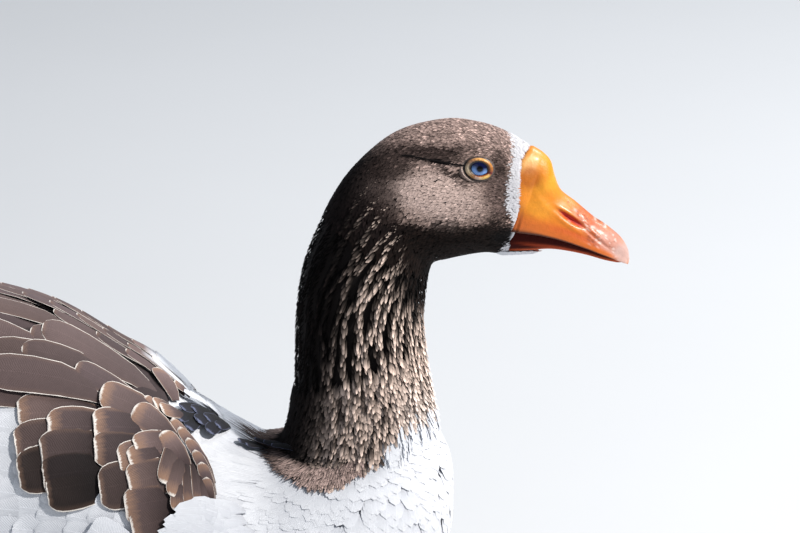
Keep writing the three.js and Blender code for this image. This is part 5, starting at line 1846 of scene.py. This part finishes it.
# Colours of the lid, outer and inner, by degrees from the front corner up over the top. The paler top is
# partly painted highlight.
LID_TINTS = [
    (0, (150, 86, 30), (84, 34, 14)), (45, (190, 126, 48), (80, 42, 18)), (90, (226, 164, 86), (52, 30, 22)),
    (135, (168, 122, 86), (36, 24, 22)), (180, (190, 170, 142), (54, 46, 38)),
    (215, (200, 176, 142), (90, 72, 46)), (245, (160, 112, 60), (104, 56, 22)),
    (270, (216, 184, 162), (146, 70, 26)), (300, (242, 200, 116), (186, 98, 30)),
    (322, (232, 184, 96), (110, 30, 14)), (340, (112, 38, 18), (84, 12, 8)),
    (360, (150, 86, 30), (84, 34, 14)),
]
lid_tint = curve([(degrees, *shade(*outer), *shade(*inner)) for degrees, outer, inner in LID_TINTS])
# Height of the lid above its plane, in mm, from the edge on the ball to the foot of the surrounding fold.
lid_height = line([(0.56, 0.6), (0.62, 0.95), (0.72, 1.25), (0.82, 1.45), (0.92, 1.1), (1, 0.3),
                   (1.07, -0.3), (1.2, -0.4), (1.4, -0.7), (1.6, -1.5)])
BALL_GRID, LID_GRID = (88, 96), (160, 34)


def ball_points(radius):
    polar = np.linspace(0, math.pi, BALL_GRID[0] + 2)[1:-1, None]
    turn = np.linspace(0, 2 * math.pi, BALL_GRID[1], endpoint=False)[None]
    return radius * np.stack([np.sin(polar) * np.cos(turn), np.cos(polar) * np.ones_like(turn),
                              np.sin(polar) * np.sin(turn)], -1)


def make_eye(name, side, finish):
    points, faces = loft(ball_points(EYE["radius"]))
    x, z = points[:, 0] - IRIS["off"][0], points[:, 2] - IRIS["off"][1]
    away, turn = np.hypot(x, z), np.arctan2(z, x)
    fibre = 0.5 + 0.5 * np.sin(turn * 38 + 3 * np.sin(turn * 7))
    crescent = smooth(1.4, -1.8, z + 0.25 * x) * smooth(1.2, 2.9, away)
    colour = mix(IRIS_DEEP, IRIS_BLUE, crescent * (0.8 + 0.2 * fibre))
    rim = smooth(IRIS["edge"] - 0.5, IRIS["edge"] + 0.2, away)
    pupil = smooth(IRIS["pupil"] + 0.25, IRIS["pupil"] - 0.15, away)
    colour = mix(colour, BLACK * 0.3, np.maximum(pupil, rim))
    under_lid = 4.5 * smooth(5, 6.6, np.hypot(points[:, 0], points[:, 2])) * (points[:, 1] > 0)
    points[:, 1] = np.maximum(points[:, 1] - under_lid, np.minimum(points[:, 1], 0.5))
    points = points * (1, side, 1) + (EYE["x"], side * EYE["y"], EYE["z"])
    solid(name, points, faces[:, ::side], colour, grid_sheet(*BALL_GRID), finish, [name])


def lid_colour(degrees, reach, rear_low):
    outer, inner = np.split(lid_tint(degrees), 2, axis=-1)
    colour = mix(inner, outer, smooth(0.7, 0.84, reach))
    colour = mix(colour, BLACK * 0.6, smooth(0.68, 0.63, reach))
    crease = mix(0.3 * FACE, BLACK * 0.4, np.exp(-((degrees - 200) / 62) ** 4))
    colour = mix(colour, crease, smooth(0.98, 1.03, reach))
    return mix(colour, FOLD_PALE, np.clip(1.4 * rear_low, 0, 1) * smooth(1.13, 1.19, reach))


def make_lid(name, side, finish):
    """Lid, dark crease and the pale fold behind it, as one thin shell round the opening."""
    around, across = LID_GRID
    turn = np.linspace(0, 2 * math.pi, around, endpoint=False)[:, None]
    degrees = np.degrees(turn)
    rear_low = np.exp(-((degrees - 215) / 45) ** 2)
    corner = np.exp(-((degrees - 338) / 13) ** 2)
    reach = np.linspace(0.58, 1.16 + 0.4 * rear_low[:, 0], across, axis=1)
    wrinkle = np.sin(turn * 17 + 2 * np.sin(turn * 3)) + 0.5 * np.sin(turn * 41)
    height = lid_height(reach) + 0.07 * wrinkle * smooth(0.66, 0.8, reach)
    height = height + 1.5 * rear_low * np.exp(-((reach - 1.3) / 0.13) ** 2)
    height = height + 1.3 * np.maximum(np.sin(turn), 0) * smooth(1.12, 0.9, reach)
    height = height - 0.7 * corner * smooth(1.1, 0.8, reach)
    colour = lid_colour(degrees, reach, rear_low)
    top = reach[..., None] * np.stack([LID["long"] * np.cos(turn), LID["high"] * np.sin(turn)], -1)
    spin, lean = math.radians(-LID["turn"]), math.radians(LID["lean"])
    ring = np.concatenate([top, top[:, ::-1]], axis=1)
    out = np.concatenate([height, height[:, ::-1] - LID["thick"]], axis=1) + LID["out"]
    x = ring[..., 0] * math.cos(spin) - ring[..., 1] * math.sin(spin)
    up = ring[..., 0] * math.sin(spin) + ring[..., 1] * math.cos(spin)
    y = side * (EYE["y"] - up * math.sin(lean) + out * math.cos(lean))
    z = EYE["z"] + up * math.cos(lean) + out * math.sin(lean) - LID["out"] * math.sin(lean)
    points = np.stack([EYE["x"] + x, y, z], -1)
    a = np.arange(around * 2 * across).reshape(around, 2 * across)
    b = np.roll(a, -1, 0)
    faces = np.concatenate([np.stack([a, b, np.roll(b, -1, 1)], -1).reshape(-1, 3),
                            np.stack([a, np.roll(b, -1, 1), np.roll(a, -1, 1)], -1).reshape(-1, 3)])
    colour = np.concatenate([colour, colour[:, ::-1]], axis=1).reshape(-1, 3)
    solid(name, points.reshape(-1, 3), faces[:, ::side], colour, grid_sheet(around, 2 * across, ()), finish)


wet_eye = horn("wet eye", roughness=0.08, wax=0.1, relief=0.00001, scale=300, mottle=0.04, gloss=0.25)
lid_skin = horn("lid skin", roughness=0.42, wax=0.15, relief=0.0002, scale=900, mottle=0.12, gloss=0.5)
for side_name, side in SIDES.items():
    make_eye("eye_" + side_name, side, wet_eye)
    make_lid("lid_" + side_name, side, lid_skin)

# %% [markdown]
# ## The feet
# The bird sits with its feet folded under it, webs spread on the floor. Toes and web are one closed surface
# drawn from the ankle: toes are ridges with scutes across them, and the web between them sinks and is
# scalloped. The shank and the claws are set into it.

# %% Feet
FOOT = {"hock": (-92, 50, 11), "ankle": (-20, 64, 6), "shank": (5.4, 5.8), "margin": 0.16}
TOES = {"inner": (42, 44), "middle": (60, 72), "outer": (40, 103)}
CLAW = {"back": 5, "beyond": 7, "radii": (2.3, 0.5)}
WEB_GRID, SHANK_GRID, CLAW_GRID = (90, 150), (70, 28), (14, 16)
SOLE, TOE, SHANK, CLAW_HORN = shade(228, 120, 42), shade(240, 150, 66), shade(226, 122, 46), shade(86, 72, 60)


def web_ring(ankle, ways):
    """Rings from the ankle to the edge of the web: over the top of the foot, and back below it."""
    angles = np.array([math.atan2(w[1], w[0]) for w in ways])
    reach = np.array([np.hypot(*w) for w in ways])
    turn = np.linspace(angles[0] - FOOT["margin"], angles[-1] + FOOT["margin"], WEB_GRID[1])[None]
    share = np.linspace(0, 1, WEB_GRID[0])[:, None]
    edge = np.interp(turn, angles, reach)
    between = np.min(np.abs(turn - angles[:, None]), axis=0)[None]
    web = edge * (1 - 0.55 * between * smooth(0.02, 0.2, between))
    outside = smooth(0, 0.12, np.maximum(turn - angles[-1], angles[0] - turn))
    far = web * (1 - 0.5 * outside) * share
    off_toe = between * far
    toe = 1.9 + 3.2 * (1 - 0.3 * share)
    height = 1.6 + toe * np.clip(1 - (off_toe / toe) ** 2, 0, 1) ** 0.5 * smooth(1.06, 0.9, share)
    height += 0.35 * np.sin(far * 1.9) * smooth(toe, toe * 0.5, off_toe)
    height += 0.25 * np.sin(turn * 60 + 3 * share) * smooth(1, 3, off_toe)
    x, y = ankle[0] - 4 + far * np.cos(turn), ankle[1] + far * np.sin(turn)
    top = np.stack([x, y, height * np.ones_like(x)], -1)
    under = np.stack([x, y, np.full_like(x, FLOOR_CLEARANCE)], -1)
    return np.concatenate([top, under[:, ::-1]], axis=1)


def tube(start, end, radii, grid, ribs=0, arch=0):
    start, end = np.array(start, float), np.array(end, float)
    share = np.linspace(0, 1, grid[0])[:, None, None]
    forward = unit(end - start)
    across = unit(np.cross((0, 0, 1), forward))
    up = np.cross(forward, across)
    turn = np.linspace(0, 2 * math.pi, grid[1], endpoint=False)[None, :, None]
    radius = radii[0] + (radii[1] - radii[0]) * share
    radius = radius * (1 + ribs * np.abs(np.sin(share * 40)))
    centre = start + (end - start) * share + up * arch * np.sin(math.pi * share)
    return centre + radius * (across * np.cos(turn) + up * np.sin(turn))


def claw_points(ankle, way):
    reach = np.hypot(*way)
    tip = ankle + way - way / reach * CLAW["back"]
    end = ankle + way * (1 + CLAW["beyond"] / reach)
    return tube((*tip, 3.4), (*end, 1.2), CLAW["radii"], CLAW_GRID, arch=1)


def make_foot(name, side, finish):
    ankle = np.array(FOOT["ankle"][:2])
    ways = [np.array(tip) - ankle for tip in TOES.values()]
    points, faces = loft(web_ring(ankle, ways))
    colour = mix(SOLE, TOE, 0.5 + 0.5 * np.sin(points[:, 0] * 0.4))
    shank = tube(FOOT["hock"], FOOT["ankle"], FOOT["shank"], SHANK_GRID, ribs=0.04)
    for ring, tint in [(shank, SHANK)] + [(claw_points(ankle, way), CLAW_HORN) for way in ways]:
        more, more_faces = loft(ring)
        faces = np.vstack([faces, more_faces + len(points)])
        points = np.vstack([points, more])
        colour = np.vstack([colour, np.broadcast_to(tint, more.shape)])
    points = points * (1, side, 1)
    low, high = points.min(0), points.max(0)
    flat = (points - low) / (high - low)
    sheet = 0.02 + 0.45 * flat[:, :2] + 0.5 * (flat[:, 2:] < 0.02)
    solid(name, points, faces[:, ::-side], colour, sheet, finish, [name])


foot_skin = horn("scaled foot skin", roughness=0.5, wax=0.1, relief=0.0005, scale=700, mottle=0.18, gloss=0.5)
for side_name, side in SIDES.items():
    make_foot("foot_" + side_name, side, foot_skin)

# %% [markdown]
# ## The floor
# A plain pale floor, much wider than the bird.

# %% Floor
FLOOR = {"half": 6.0, "colour": (0.62, 0.63, 0.64, 1)}  # metres from the middle to an edge


def make_floor():
    mesh = bpy.data.meshes.new("floor")
    far = FLOOR["half"]
    mesh.from_pydata([(-far, -far, 0), (far, -far, 0), (far, far, 0), (-far, far, 0)], [], [(0, 1, 2, 3)])
    floor = bpy.data.objects.new("floor", mesh)
    bpy.context.scene.collection.objects.link(floor)
    made, tree, shader = material("pale floor", 0.9, 0.2)
    cloud = use(tree, MOTTLE, Scale=3, Amount=0.02)
    plain = tree.nodes.new("ShaderNodeRGB")
    plain.outputs[0].default_value = FLOOR["colour"]
    tree.links.new(scaled(tree, plain.outputs[0], cloud.outputs["Factor"]), shader.inputs["Base Color"])
    mesh.materials.append(made)


make_floor()
